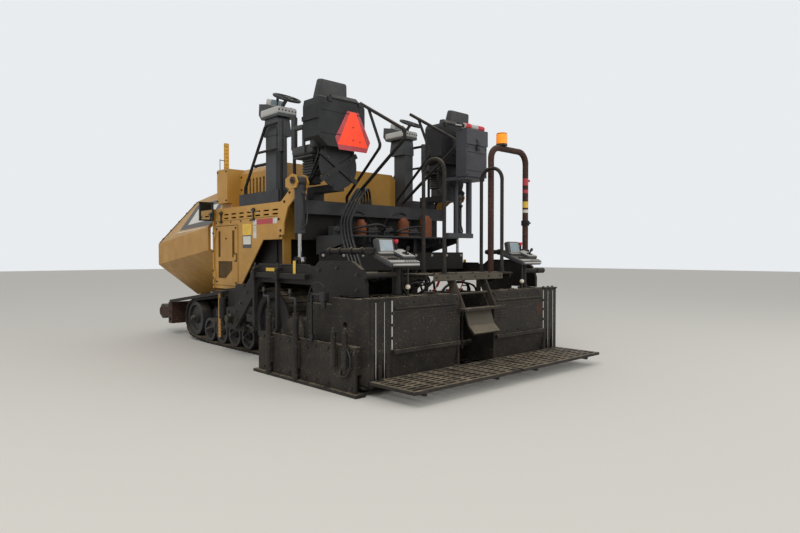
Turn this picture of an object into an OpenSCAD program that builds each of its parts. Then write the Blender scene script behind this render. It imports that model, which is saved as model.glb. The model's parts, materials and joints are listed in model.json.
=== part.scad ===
// Tracked asphalt paver with a floating extendable screed
// Stations along X are counted from the rear edge of the walkway, +X is forward and +Y is left

/* [Overall] */
// Length from the walkway to the front of the push rollers
overall_length = 5440; // [5300:5600]
// Thickness of light sheet
sheet = 12; // [8:14]

/* [Belts] */
// Distance from the middle of the machine to the middle of a belt
belt_y = 700; // [695:710]
// Width of a belt
belt_w = 365; // [350:370]
// Thickness of a belt without its tread
belt_t = 18; // [15:20]
// Height of a tread bar
tread_h = 10; // [6:12]
// Number of tread bars round a belt
treads = 56; // [40:64]
// Station of the drive wheel
drive_x = 2456; // [2430:2480]
// Radius of the drive wheel
drive_r = 334; // [320:340]
// Station of the front idler
idler_x = 4304; // [4280:4340]
// Height of the centre of the front idler
idler_z = 272; // [265:280]
// Radius of the front idler
idler_r = 211; // [200:215]
// Radius of a track roller
roller_r = 138; // [125:142]
// Station of the rearmost track roller
roller_x = 2984; // [2960:3000]
// Distance between two track rollers
roller_pitch = 304; // [296:310]

/* [Hopper] */
// Station of the front edge of a wing
wing_front = 4992; // [4950:5000]
// Station of the rear edge of a wing
wing_rear = 3548; // [3544:3600]
// Rise of the hinge of a wing towards the rear in degrees
wing_pitch = 7; // [6:8]
// Height of the hinge of a wing at its front edge
wing_z = 504; // [500:515]
// Distance from the middle to the hinge of a wing
wing_y = 488; // [486:492]
// Distance from the hinge to the upright band of a wing
band_y = 552; // [540:560]
// Height of the lower edge of that band over the hinge
band_z = 426; // [400:440]
// Width of that band
band_h = 264; // [240:280]
// Height of the top edge of a wing over its hinge
wing_h = 1272; // [1200:1300]

/* [Body] */
// Distance from the middle to the inner face of a frame plate
frame_y = 480; // [476:482]
// Thickness of a frame plate
frame_t = 14; // [12:16]
// Distance from the middle to the outer face of the side panels
body_y = 1000; // [990:1005]
// Height of the top of the side panels and of the platform
body_top = 1568; // [1540:1600]
// Station of the front of the side panels
body_front = 3480; // [3470:3485]
// Station of the rear of the side panels
body_rear = 2056; // [2040:2070]
// Station of the rear edge of the operators' platform
deck_rear = 1760; // [1740:1780]
// Half of the width of the hood
hood_y = 800; // [780:805]
// Height of the top of the hood
hood_top = 2008; // [1960:2050]
// Station of the rear of the hood
hood_rear = 2416; // [2410:2430]
// Distance from the middle to the middle of a station
station_y = 850; // [840:860]

/* [Screed] */
// Station of the tow points
tow_x = 2824; // [2810:2840]
// Height of the tow points
tow_z = 400; // [390:410]
// Distance from the middle to the inner face of a tow arm
tow_y = 1112; // [1110:1116]
// Thickness of a tow arm
tow_t = 32; // [25:36]
// Half of the width of the main screed
screed_hw = 1220; // [1200:1225]
// Height of the walkway
walk_z = 120; // [110:130]
// Depth of the walkway
walk_x = 472; // [450:475]
// Station of the rear panels of the extensions
panel_x = 480; // [478:490]
// Height of the top of the extensions
panel_top = 720; // [700:722]
// Inner end of an extension
panel_start = 232; // [228:240]
// Radius of an auger
auger_r = 165; // [150:170]
// Rise of an auger flight in one turn
auger_pitch = 280; // [240:320]
// Station of the augers
auger_x = 1648; // [1640:1660]
// Height of the augers
auger_z = 336; // [320:345]
// Station of the lift cylinders
lift_x = 1656; // [1650:1665]
// Distance from the middle to a lift cylinder
lift_y = 1064; // [1063:1066]
// Height of the upper pins of the lift cylinders
lift_top = 1720; // [1715:1725]
// Height of the lower pins of the lift cylinders
lift_low = 1000; // [995:1005]

/* [Hidden] */
half = overall_length / 2;
// Outer end of the extensions
panel_end = screed_hw + 28;
// Station of the push rollers
push_x = overall_length - 100;
dark = [0.16, 0.15, 0.14];
yellow = [0.76, 0.55, 0.17];
grey = [0.36, 0.35, 0.33];
steel = [0.62, 0.62, 0.6];
rubber = [0.1, 0.1, 0.1];
brown = [0.3, 0.2, 0.14];
fit = 0.3;
arc_step = 8;
elbow_lap = 6;
elbow_wall = 2;
deck_low = body_top - sheet;
floor_z = 480;
tunnel_top = 800;
hinge_at = [-1340, -940, -540, -180];
knuckle = 72;
pin_d = 14;
panel_low = 320;
tube_x = 760;
tube_z = [240, 512];
tube_d = 56;
mast_x = 810;
locker_x = 1150;
hang_x = [1850, 2262];
door_hinge = [800, 1260];

// Points of the belt: three arcs round the drive wheel, the last roller and the idler, joined by straight runs
base_r = belt_t + tread_h;
roll = [[drive_x, drive_r + base_r, drive_r], [roller_x + 3 * roller_pitch, roller_r + base_r, roller_r], [idler_x, idler_z, idler_r]];
function gap_of(i) = [roll[(i + 1) % 3][0] - roll[i % 3][0], roll[(i + 1) % 3][1] - roll[i % 3][1]];
function drop_of(i) = roll[i % 3][2] - roll[(i + 1) % 3][2];
phi = [for (i = [0:2]) atan2(gap_of(i)[1], gap_of(i)[0]) - acos(drop_of(i) / norm(gap_of(i)))];
function start_of(i) = i == 0 ? phi[2] - 360 : phi[i - 1];
function arc_len(i) = (phi[i] - start_of(i)) * PI / 180 * (roll[i][2] + belt_t);
function line_len(i) = sqrt(gap_of(i) * gap_of(i) - drop_of(i) * drop_of(i));
function spot(i, a, o) = [roll[i % 3][0] - half + (roll[i % 3][2] + o) * cos(a), roll[i % 3][1] + (roll[i % 3][2] + o) * sin(a)];
function on_arc(i, t, o) = spot(i, start_of(i) + (phi[i] - start_of(i)) * t / arc_len(i), o);
function on_line(i, k, o) = spot(i, phi[i], o) * (1 - k) + spot(i + 1, phi[i], o) * k;
function along(i, t, o) = t < arc_len(i) ? on_arc(i, t, o) : on_line(i, (t - arc_len(i)) / line_len(i), o);
first = arc_len(0) + line_len(0);
second = first + arc_len(1) + line_len(1);
loop = second + arc_len(2) + line_len(2);
function loop_at(s, o) = s < first ? along(0, s, o) : s < second ? along(1, s - first, o) : along(2, s - second, o);
pitch = loop / treads;
bar = [[0.02, 0], [0.08, tread_h], [0.62, tread_h], [0.68, 0]];
belt_out = [for (n = [0:treads - 1]) for (k = bar) loop_at((n + k[0]) * pitch, belt_t + k[1])];
belt_in = [for (i = [0:2]) let (n = ceil((phi[i] - start_of(i)) / arc_step)) for (k = [0:n]) spot(i, start_of(i) + (phi[i] - start_of(i)) * k / n, roll[i][2] * (1 / cos((phi[i] - start_of(i)) / n / 2) - 1))];

module bx(x0, x1, y0, y1, z0, z1) translate([x0 - half, y0, z0]) cube([x1 - x0, y1 - y0, z1 - z0]);
module ax(x0, x1, y, z, d) translate([x0 - half, y, z]) rotate([0, 90, 0]) cylinder(h = x1 - x0, d = d);
module ay(x, y0, y1, z, d) translate([x - half, y0, z]) rotate([-90, 0, 0]) cylinder(h = y1 - y0, d = d);
module az(x, y, z0, z1, d) translate([x - half, y, z0]) cylinder(h = z1 - z0, d = d);
module py(y0, y1, pts) translate([-half, y1, 0]) rotate([90, 0, 0]) linear_extrude(y1 - y0) polygon(pts);
module px(x0, x1, pts) translate([x0 - half, 0, 0]) rotate([90, 0, 90]) linear_extrude(x1 - x0) polygon(pts);
module right() mirror([0, 1, 0]) children();
function unit(v) = v / norm(v);

// Outline of a sheet of thickness t whose one face follows the points
function side_of(a, b) = let (d = unit(b - a)) [-d[1], d[0]];
function turned(p, i) = i == 0 ? side_of(p[0], p[1]) : side_of(p[i - 1], p[i]);
function ahead(p, i) = i == len(p) - 1 ? turned(p, i) : side_of(p[i], p[i + 1]);
function shifted(p, t) = [for (i = [0:len(p) - 1]) p[i] + (turned(p, i) + ahead(p, i)) * t / (1 + turned(p, i) * ahead(p, i))];
function ribbon(p, t) = let (q = shifted(p, t)) concat(p, [for (i = [len(q) - 1:-1:0]) q[i]]);

// Bent tube through points, with elbows a little fatter than the straights that run into them
module rod(a, b, d) {
  v = b - a;
  translate([a[0] - half, a[1], a[2]]) rotate([0, acos(v[2] / norm(v)), atan2(v[1], v[0])]) cylinder(h = norm(v), d = d);
}
function turn(a, b, c) = acos(min(1, max(-1, unit(b - a) * unit(c - b))));
module bend(a, b, c, d, r) {
  u = unit(b - a);
  v = unit(c - b);
  n = unit(v - u * (u * v));
  o = b - u * r * tan(turn(a, b, c) / 2) + n * r;
  w = cross(-n, u);
  multmatrix([[-n[0], u[0], w[0], o[0] - half], [-n[1], u[1], w[1], o[1]], [-n[2], u[2], w[2], o[2]], [0, 0, 0, 1]])
    rotate_extrude(angle = turn(a, b, c)) translate([r, 0]) circle(d = d);
}
module pipe(p, d, r = 80) {
  n = len(p) - 1;
  cut = [for (i = [0:n]) i == 0 || i == n ? 0 : r * tan(turn(p[i - 1], p[i], p[i + 1]) / 2) - elbow_lap];
  for (i = [0:n - 1]) rod(p[i] + unit(p[i + 1] - p[i]) * cut[i], p[i + 1] - unit(p[i + 1] - p[i]) * cut[i + 1], d);
  for (i = [1:n - 1]) bend(p[i - 1], p[i], p[i + 1], d + elbow_wall, r);
}

// Belts and undercarriage
module belt() color(rubber) translate([0, belt_y + belt_w / 2, 0]) rotate([90, 0, 0]) difference() {
  linear_extrude(belt_w) polygon(belt_out);
  translate([0, 0, -1]) linear_extrude(belt_w + 2) polygon(belt_in);
}
module wheel(x, z, r, w) {
  for (s = [-1, 1]) difference() {
    ay(x, belt_y + s * 95 - w / 2, belt_y + s * 95 + w / 2, z, 2 * r - 2 * fit);
    ay(x, belt_y + s * (95 + w / 2 - 16) - 18, belt_y + s * (95 + w / 2 - 16) + 18, z, 1.56 * r);
  }
  ay(x, belt_y - 95 - w / 2, belt_y + 95 + w / 2, z, 0.62 * r);
  ay(x, belt_y + 95 + w / 2, belt_y + 125 + w / 2, z, 0.36 * r);
}
module undercarriage() color(grey) {
  wheel(drive_x, drive_r + base_r, drive_r, 130);
  wheel(idler_x, idler_z, idler_r, 120);
  for (k = [0:3]) wheel(roller_x + k * roller_pitch, roller_r + base_r, roller_r, 125);
  py(belt_y - 22, belt_y + 22, [[2860, 110], [3985, 110], [4330, 225], [4330, 320], [4000, 416], [3120, 480], [2860, 440]]);
  bx(2860, 3890, belt_y - 80, belt_y + 80, 316, 400);
  ay(3440, frame_y + frame_t, belt_y, 366, 120);
  ay(drive_x, frame_y + frame_t, belt_y, drive_r + base_r, 240);
}

// Tractor frame
module hinge_line() translate([wing_front - half, wing_y, wing_z]) rotate([0, wing_pitch, 0]) children();
module along_wing(x0, x1, pts) translate([x0, 0, 0]) rotate([90, 0, 90]) linear_extrude(x1 - x0) polygon(pts);
module hinge_rod(x0, x1, d) translate([x0, 0, 0]) rotate([0, 90, 0]) cylinder(h = x1 - x0, d = d);
module frame_side() {
  difference() {
    py(frame_y, frame_y + frame_t, [[1864, 496], [2144, 264], [4720, 264], [4880, 336], [4880, 470], [3536, 630], [3454, tunnel_top], [3454, deck_low], [1864, deck_low]]);
    for (x = [2250, 3300]) ay(x, frame_y - 5, frame_y + frame_t + 5, 1000, 200);
  }
  for (b = [[1864, 1920, 1200], [2420, 2480, 1472], [3360, 3440, 1472]]) bx(b[0], b[1], frame_y + frame_t, body_y - 58, b[2], deck_low);
  bx(2130, 3340, frame_y + frame_t, 896, 790, 1400);
  for (x = [2140, 2300]) bx(x, x + 6, 896, 912, 900, 1300);
  hinge_line() {
    for (x = hinge_at) {
      hinge_rod(x + knuckle + 5, x + 2 * knuckle + 5, 28);
      translate([x + knuckle + 5, -6, -60]) cube([knuckle, 10, 50]);
    }
    hinge_rod(hinge_at[0] - 12, hinge_at[3] + 2 * knuckle + 20, pin_d);
    along_wing(-1990, 20, ribbon([[-6, -40], [408, -40], [408, -78]], -8));
  }
}
module frame_floor() color(dark) {
  bx(1920, 4880, -frame_y, frame_y, 384, 400);
  for (x = [2240, 2880, 3520, 4160]) bx(x, x + 96, -frame_y, frame_y, 288, 384);
  for (y = [-400, 0, 400]) bx(1940, 4840, y - 18, y + 18, 400, floor_z);
  bx(1888, 3454, -frame_y, frame_y, tunnel_top, tunnel_top + 10);
  bx(1864, 1876, -frame_y, frame_y, tunnel_top, deck_low);
  bx(2420, 2480, -frame_y, frame_y, 1472, deck_low);
}
module engine_block() color(grey) {
  bx(2500, 3216, -264, 264, 944, 1450);
  bx(2560, 3180, -210, 210, 1450, 1808);
  for (x = [2560, 3040]) bx(x, x + 80, -320, 320, tunnel_top + 10, 944);
}
module hopper_floor() color(steel) {
  bx(1920, 4850, -frame_y, frame_y, floor_z, floor_z + 10);
  for (s = [-1, 1]) bx(1920, 4850, s * 440 - 28, s * 440 + 28, floor_z + 10, floor_z + 32);
  px(1920, 4850, [[-48, floor_z + 10], [48, floor_z + 10], [48, floor_z + 40], [0, floor_z + 80], [-48, floor_z + 40]]);
}
module conveyor_bars() color(grey) {
  for (s = [0, 1]) mirror([0, s, 0]) {
    for (x = [1984:144:4800]) bx(x, x + 22, 56, 406, floor_z + 18, floor_z + 32);
    for (y = [80, 384]) bx(1950, 4820, y - 11, y + 11, floor_z + 10, floor_z + 25);
  }
}
module hopper_bulkhead() color(yellow) {
  difference() {
    bx(3454, body_front, -948, 948, 576, body_top - sheet);
    bx(3440, 3500, -478, 478, 500, tunnel_top);
    for (s = [-1, 1]) {
      bx(3440, 3500, s * 487 - 9, s * 487 + 9, 500, tunnel_top + 2);
      bx(3440, 3500, s * 724 - 228, s * 724 + 228, 500, 716);
    }
  }
}
wing_line = [[20, 14], [band_y, band_z], [band_y, band_z + band_h], [16, wing_h]];
edge_line = [[66, 49.6], [band_y, band_z], [band_y, band_z + band_h], [52, 1233]];
module wing() color(yellow) {
  intersection() {
    hinge_line() along_wing(-1700, 400, ribbon(wing_line, sheet));
    bx(wing_rear, wing_front, wing_y - 100, 1300, 400, 2200);
  }
  for (p = [[38, wing_front - 36, wing_front - 2], [28, wing_rear + 2, wing_rear + 30]]) intersection() {
    hinge_line() along_wing(-1700, 400, ribbon(shifted(edge_line, 6), p[0]));
    bx(p[1], p[2], wing_y - 100, 1300, 400, 2200);
  }
  hinge_line() difference() {
    for (x = hinge_at) {
      hinge_rod(x, x + knuckle, 28);
      along_wing(x, x + knuckle, [[4, 10], [12, 2], [52, 32], [44, 42]]);
    }
    hinge_rod(-1600, 100, pin_d + 2 * fit);
  }
}
module push_frame() color(brown) {
  for (s = [0, 1]) mirror([0, s, 0]) {
    bx(4700, push_x - 260, 440, frame_y, 270, 370);
    difference() {
      bx(push_x - 380, push_x - 260, 560, 880, 150, 430);
      ay(push_x - 320, 550, 890, 200, 50);
    }
    for (y = [444, 860]) translate([push_x, 0, 0]) py(y, y + 15, [[-160, 232], [30, 232], [60, 262], [60, 314], [30, 344], [-160, 360]]);
    ay(push_x, 459, 468, 288, 90);
  }
  bx(push_x - 260, push_x - 160, -875, 875, 232, 360);
  difference() {
    bx(4856, 4880, -474, 474, 400, 610);
    for (s = [-1, 1]) bx(4850, 4890, s * 240 - 150, s * 240 + 150, floor_z + 40, 580);
  }
}
module push_roller() color(grey) {
  ay(push_x, 470, 850, 288, 200);
  ay(push_x, 468 + fit, 860 - fit, 288, 60);
}

// Tractor body
module side_body() color(yellow) {
  difference() {
    py(body_y - sheet, body_y, [[body_rear, 1208], [2408, 1208], [2904, 688], [body_front, 688], [body_front, body_top], [body_rear, body_top]]);
    bx(2920, 3440, body_y - 20, body_y + 5, 720, 1376);
    for (x = [2128:168:3300]) for (z = [1448, 1488]) bx(x, x + 104, body_y - 20, body_y + 5, z, z + 16);
  }
  bx(body_rear, hood_rear + 4, body_y - 60, body_y - sheet, deck_low, body_top);
  bx(hood_rear + 4, body_front, hood_y - 60, body_y - sheet, deck_low, body_top);
  bx(3454, body_front, body_y - 50, body_y - sheet, 688, deck_low);
  bx(3456, body_front, body_y, body_y + 18, 688, body_top);
  bx(body_rear, body_rear + sheet, 800, body_y - sheet, 1208, deck_low);
  bx(body_rear, body_rear + sheet, 900, body_y - sheet, 950, 1208);
  for (z = door_hinge) {
    for (e = [z - 16, z + 72 + fit]) {
      az(3444, body_y + 10, e, e + 16 - fit, 18);
      bx(3444, 3460, body_y - 2, body_y + 12, e, e + 16 - fit);
    }
    az(3444, body_y + 10, z - 8, z + 80, 8);
  }
}
module service_door() color(yellow) {
  difference() {
    bx(2925, 3435, body_y - sheet, body_y + 6, 725, 1371);
    for (x = [2990, 3310]) bx(x, x + 56, body_y - 8, body_y + 10, 1032, 1320);
    py(body_y - 8, body_y + 10, [[3366, 990], [3366, 800], [3190, 800], [3040, 900], [3040, 990]]);
  }
  for (z = door_hinge) difference() {
    union() {
      bx(3418, 3444, body_y + 5, body_y + 14, z, z + 72);
      az(3444, body_y + 10, z, z + 72, 18);
    }
    az(3444, body_y + 10, z - 1, z + 73, 8 + 2 * fit);
  }
  bx(2945, 2985, body_y + 6, body_y + 18, 1000, 1060);
}
module hood() color(yellow) difference() {
  union() {
    px(hood_rear + 4, 3250, [[-hood_y, body_top], [hood_y, body_top], [hood_y, hood_top - 56], [hood_y - 56, hood_top], [56 - hood_y, hood_top], [-hood_y, hood_top - 56]]);
    px(3240, body_front, [[-900, body_top], [900, body_top], [900, 1632], [960, 1632], [960, hood_top], [-960, hood_top], [-960, 1632], [-900, 1632]]);
  }
  px(hood_rear + 16, 3254, [[-788, body_top - 10], [788, body_top - 10], [788, hood_top - 61], [739, hood_top - 12], [-739, hood_top - 12], [-788, hood_top - 61]]);
  bx(3252, body_front - 12, -888, 888, body_top - 10, 1660);
  bx(3252, body_front - 12, -948, 948, 1644, hood_top - 12);
  for (s = [-1, 1]) {
    for (x = [2500:72:3140]) bx(x, x + 36, s * hood_y - 16, s * hood_y + 16, 1664, 1888);
    bx(3290, 3440, s * 960 - 16, s * 960 + 16, 1700, 1940);
  }
}
module sight_gear() color(dark) {
  for (s = [0, 1]) mirror([0, s, 0]) {
    bx(3452, 3476, body_y + 18.3, 1040, 1500, 1524);
    bx(3430, 3440, 1040, 1190, 1440, 1636);
    bx(3440, 3476, 1040, 1060, 1496, 1528);
  }
  difference() {
    bx(3424, 3434, 850, 890, hood_top + fit, 2320);
    for (z = [2040:40:2300]) ax(3420, 3440, 870, z, 14);
  }
}
module deck() color(dark) {
  difference() {
    bx(deck_rear, hood_rear + 4, -940, 940, deck_low, body_top);
    for (x = [deck_rear + 48:72:2330]) for (y = [-432:144:432]) bx(x, x + 40, y - 56, y + 56, deck_low - 8, body_top + 8);
  }
  bx(deck_rear, deck_rear + 10, -940, 940, 1440, deck_low);
  for (s = [-1, 1]) difference() {
    bx(2130, 2900, s * 904 - 92, s * 904 + 92, body_top, 1688);
    bx(2140, 2890, s * 904 - 82, s * 904 + 82, body_top + 10, 1678);
  }
  difference() {
    bx(1360, 1864, -740, 740, 1228, 1240);
    for (x = [1420:72:1800]) for (y = [-648:144:650]) bx(x, x + 40, y - 56, y + 56, 1220, 1250);
  }
  for (y = [-740, -480, 472, 732]) py(y, y + 8, [[1376, 1228], [1376, 1180], [1852, 1060], [1852, 1228]]);
  bx(1852, 1864, -740, 740, 1060, 1228);
}
module rear_hydraulics() color(grey) {
  for (y = [-336, 0, 336]) {
    ax(1700, 1864, y, 980, 136);
    ax(1652, 1700, y, 980, 92);
  }
  bx(1800, 1864, -440, 440, 850, 900);
  for (y = [-240, 130]) bx(1760, 1852, y, y + 110, 1070, 1170);
}
module lift_bracket() {
  py(body_y, body_y + 14, [[1600, 1704], [1632, 1768], [1688, 1784], [1792, 1744], [2090, 1540], [2130, 1360], [2110, 1248], [2010, 1248], [2000, 1360], [1936, 1504], [1720, 1648], [1624, 1656]]);
  py(lift_y + 50, lift_y + 64, [[1600, 1704], [1632, 1768], [1688, 1784], [1792, 1744], [1792, 1672], [1720, 1648], [1624, 1656]]);
  bx(1744, 1790, body_y + 14, lift_y + 50, 1680, 1742);
  ay(lift_x, body_y - 8, lift_y + 76, lift_top, 36);
}
module lift_barrel() color(grey) difference() {
  union() {
    az(lift_x, lift_y, 1248, 1684, 94);
    ay(lift_x, lift_y - 40, lift_y + 40, lift_top, 88);
    az(lift_x, lift_y, 1248, 1280, 98);
  }
  az(lift_x, lift_y, 1240, 1640, 34 + 2 * fit);
  ay(lift_x, lift_y - 50, lift_y + 50, lift_top, 36 + 2 * fit);
}
module lift_rod() color(steel) {
  az(lift_x, lift_y, 1040, 1440, 34);
  difference() {
    ay(lift_x, lift_y - 18, lift_y + 18, lift_low, 88);
    ay(lift_x, lift_y - 19, lift_y + 19, lift_low, 60);
  }
}
module tow_point() {
  py(1050, 1076, [[2660, 755], [2660, 270], [2960, 270], [3010, 320], [3010, 620], [3200, 640], [3200, 680], [2850, 715], [2830, 755]]);
  bx(2660, 2830, frame_y + frame_t, 1076, 735, 755);
  ay(tow_x, 1076, 1180, tow_z, 56);
  ay(tow_x, 1150, 1180, tow_z, 92);
  az(3048, 1116, 300, 380, 44);
  az(3048, 1116, 380, 600, 76);
  az(3048, 1116, 600, 650, 32);
  bx(3010, 3196, 1072, 1150, 650, 674);
  difference() {
    bx(3130, 3176, 1096, 1104, 170, 660);
    for (z = [200:38:680]) ay(3153, 1090, 1110, z, 14);
  }
  bx(3020, 3076, 1070, 1110, 400, 460);
}

// Operators' stations
module pedestal() {
  bx(2260, 2450, 812, 940, 1688, 2240);
  px(2250, 2480, [[770, 2240], [945, 2240], [945, 2300], [930, 2420], [790, 2420], [770, 2300]]);
  py(740, 950, [[2200, 2420], [2520, 2420], [2570, 2480], [2560, 2590], [2400, 2560], [2200, 2480]]);
  rod([2330, station_y, 2490], [2210, station_y, 2590], 36);
  translate([2200 - half, station_y, 2600]) rotate([0, -25, 0]) {
    rotate_extrude() translate([128, 0]) circle(d = 24);
    cylinder(h = 14, d = 60, center = true);
    for (k = [0:2]) rotate([0, 90, 120 * k + 60]) cylinder(h = 124, d = 18);
  }
}
module seat() {
  bx(1680, 1840, 745, 815, 1700.3, 1960);
  bx(1560, 1900, station_y - 150, station_y + 150, 1960, 2070);
  translate([1580 - half, 0, 2010]) rotate([0, -10, 0]) translate([-60, station_y - 150, 0]) cube([80, 300, 620]);
  for (s = [-1, 1]) {
    bx(1645, 1800, station_y + s * 175 - 22, station_y + s * 175 + 22, 2190, 2230);
    bx(1650, 1690, station_y + s * 160 - 12, station_y + s * 160 + 12, 2000, 2200);
  }
}
module seat_pod() {
  difference() {
    px(1400, 1640, [[540, 2060], [580, 2020], [940, 2020], [1040, 2100], [1040, 2380], [1026, 2440], [540, 2440], [520, 2400], [520, 2100]]);
    px(1425, 1650, [[566, 2070], [592, 2046], [930, 2046], [1014, 2112], [1014, 2370], [1008, 2450], [565, 2450], [546, 2395], [546, 2110]]);
    bx(1498, 1650, 690, 1010, 2000, 2105);
  }
  difference() {
    px(1390, 1425, [[560, 2410], [940, 2410], [940, 2450], [560, 2450]]);
    bx(1380, 1402, 600, 900, 2400, 2440);
  }
  bx(1394, 1640, 1034, 1054, 2250, 2290);
  intersection() {
    ax(1484, 1496, 760, 1870, 420);
    bx(1480, 1500, 500, 1000, 1650, 2033);
  }
  translate([1470 - half, 760, 1850]) for (a = [-32, 32]) rotate([a, 0, 0]) translate([0, -240, -22]) cube([16, 480, 44]);
  bx(1474, 1640, 584, 608, 1960, 2030);
  bx(1474, 1494, 900, 924, 1960, 2030);
  bx(1480, 1900, 700, 820, 1640, 1700);
  bx(1790, 1900, 700, 820, body_top, 1660);
}
module rail() {
  pipe([[1680, 340, 2540], [1050, 340, 2190], [1050, 340, 2110], [1800, 340, 1610], [1800, 340, body_top]], 32, 30);
  pipe([[1900, 340, body_top], [1900, 340, 1640], [1380, 340, 2085], [1560, 340, 2473]], 28, 50);
  pipe([[2813, 972, 1688], [2813, 972, 1750], [2398, 972, 2340], [2110, 972, 2340]], 30, 70);
  rod([2560, 972, 2090], [2110, 972, 2090], 26);
  az(2110, 972, body_top, 2050, 32);
  az(2110, 972, 2050, 2360, 58);
  az(1970, 915, body_top, 2050, 32);
  az(1970, 915, 2050, 2360, 58);
}
module hoop(y) pipe([[610, y, 888], [610, y, 1890], [860, y, 1890], [860, y, 888]], 34, 118);
module locker() color(grey) {
  difference() {
    bx(locker_x, 1290, -955, -625, 1871, 2352);
    bx(locker_x + 8, 1282, -947, -633, 1881, 2362);
  }
  az(1405, -965, 1280, 1850, 64);
  az(1405, -760, 1280, 1850, 40);
  bx(1370, 1440, -1000, -600, 1240, 1290);
  bx(locker_x + 20, 1437, -945, -635, 1840, 1875);
  for (y = [[-945, -850], [-730, -635]]) ay(1297, y[0], y[1], 2359, 20);
  ay(1297, -945, -635, 2359, 8);
  for (y = [-943, -637]) bx(1289, 1298, y - 2, y + 2, 2340, 2362);
}
module locker_lid() color(grey) {
  bx(locker_x - 6, 1286, -960, -620, 2352.3, 2360);
  bx(locker_x - 12, locker_x - 4, -960, -620, 2200, 2360);
  ax(locker_x - 30, locker_x - 11, -790, 2250, 34);
  difference() {
    union() {
      ay(1297, -849.5, -730.5, 2359, 19);
      bx(1280, 1297, -849.5, -730.5, 2352.3, 2360);
    }
    ay(1297, -860, -720, 2359, 8 + 2 * fit);
  }
}
// Augers
module auger_frame() color(dark) {
  bx(1792, 1864, -560, 560, 560, 640);
  for (s = [-1, 1]) {
    ay(auger_x, s * 48 - 7.7, s * 48 + 7.7, auger_z, 100);
    py(s * 32 - 16, s * 32 + 16, [[1600, 260], [1700, 260], [1864, 560], [1864, 640], [1600, 640]]);
    bx(1792, 1864, s * 512 - 48, s * 512 + 48, 640, 1050);
  }
}
module auger() color(steel) {
  ay(auger_x, 56, screed_hw - 36, auger_z, 72);
  for (k = [0:floor((screed_hw - 180) / 80)]) translate([auger_x - half, 88 + k * 80, auger_z]) rotate([-90, 0, 0]) cylinder(h = 12, r = auger_r);
}

// Screed
tow_line = [[2912, 304], [2912, 512], [2752, 520], [2288, 960], [1312, 960], [1248, 1008], [816, 1008], [688, 944], [640, 832], [640, 730], [960, 730], [960, 656], [1312, 656], [1360, 800], [2208, 800], [2720, 304]];
module tow_arm() color(dark) {
  difference() {
    py(tow_y, tow_y + tow_t, tow_line);
    for (p = [[2856, 464], [2784, 352]]) ay(p[0], tow_y - 10, tow_y + tow_t + 10, p[1], 32);
    ay(tow_x, tow_y - 10, tow_y + tow_t + 10, tow_z, 56 + 2 * fit);
  }
  for (y = [lift_y - 37, lift_y + 21]) py(y, y + 16, [[1608, 944], [1704, 944], [1704, 1024], [1680, 1040], [1632, 1040], [1608, 1024]]);
  ay(lift_x, lift_y - 40, tow_y + 4, lift_low, 36);
  bx(1608, 1704, lift_y - 37, tow_y, 920, 946);
  bx(1360, 2240, tow_y - 40, tow_y, 830, 870);
  bx(1400, 2300, tow_y + tow_t, tow_y + tow_t + 44, 846, 890);
  for (x = hang_x) {
    bx(x - 34, x + 34, tow_y + tow_t + 8, tow_y + tow_t + 64, 834, 902);
    bx(x - 18, x + 18, tow_y + tow_t + 14, tow_y + tow_t + 50, 330, 930);
    bx(x - 26, x + 26, tow_y + tow_t + 6, tow_y + tow_t + 58, 330, 350);
  }
}
module screed_frame() color(dark) {
  py(-screed_hw, screed_hw, [[952, 48], [1312, 48], [1312, 72], [952, 60]]);
  bx(1290, 1312, -screed_hw, screed_hw, 56, 570);
  bx(952, 974, -screed_hw, screed_hw, 52, 656);
  bx(970, 1295, -screed_hw, screed_hw, 336, 350);
  bx(970, 1312, -screed_hw, screed_hw, 560, 656);
  for (y = [-screed_hw, -600, 588, screed_hw - 12]) bx(960, 1300, y, y + 12, 60, 570);
  for (z = tube_z) ay(tube_x, -screed_hw, screed_hw, z, tube_d);
  for (s = [-1, 1]) bx(724, 960, s * 80 - 12, s * 80 + 12, 192, 600);
}
module centre_step() color(dark) {
  difference() {
    bx(576, 880, -640, 540, 880, 894);
    for (x = [640:56:800]) for (y = [-400:112:220]) bx(x, x + 32, y - 44, y + 44, 870, 900);
  }
  for (y = [-632, 516]) py(y, y + 16, [[592, 880], [1008, 880], [1008, 656], [960, 656], [960, 740], [700, 850], [592, 850]]);
  for (y = [-212, 200]) py(y, y + 12, [[580, 880], [640, 880], [500, 580], [430, 580]]);
  bx(396, 470, -280, 260, 580, 600);
  ay(536, -204, 204, 720, 24);
  py(-160, 180, [[480, 600], [496, 600], [440, 440], [370, 376], [362, 388], [426, 448]]);
  bx(440, 490, -160, 180, 586, 600);
  for (y = [-515, 290]) hoop(y);
}
module beacon_mast() {
  color([0.45, 0.2, 0.14]) pipe([[mast_x, -1174.5, 820], [mast_x, -1174.5, 2120], [mast_x, -600, 2120], [mast_x, -600, 894]], 60, 120);
  color([0.45, 0.2, 0.14]) bx(780, 840, -1170, -1144.2, 830, 990);
  color([0.9, 0.5, 0.1]) az(mast_x, -770, 2149, 2270, 104);
}
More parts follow.
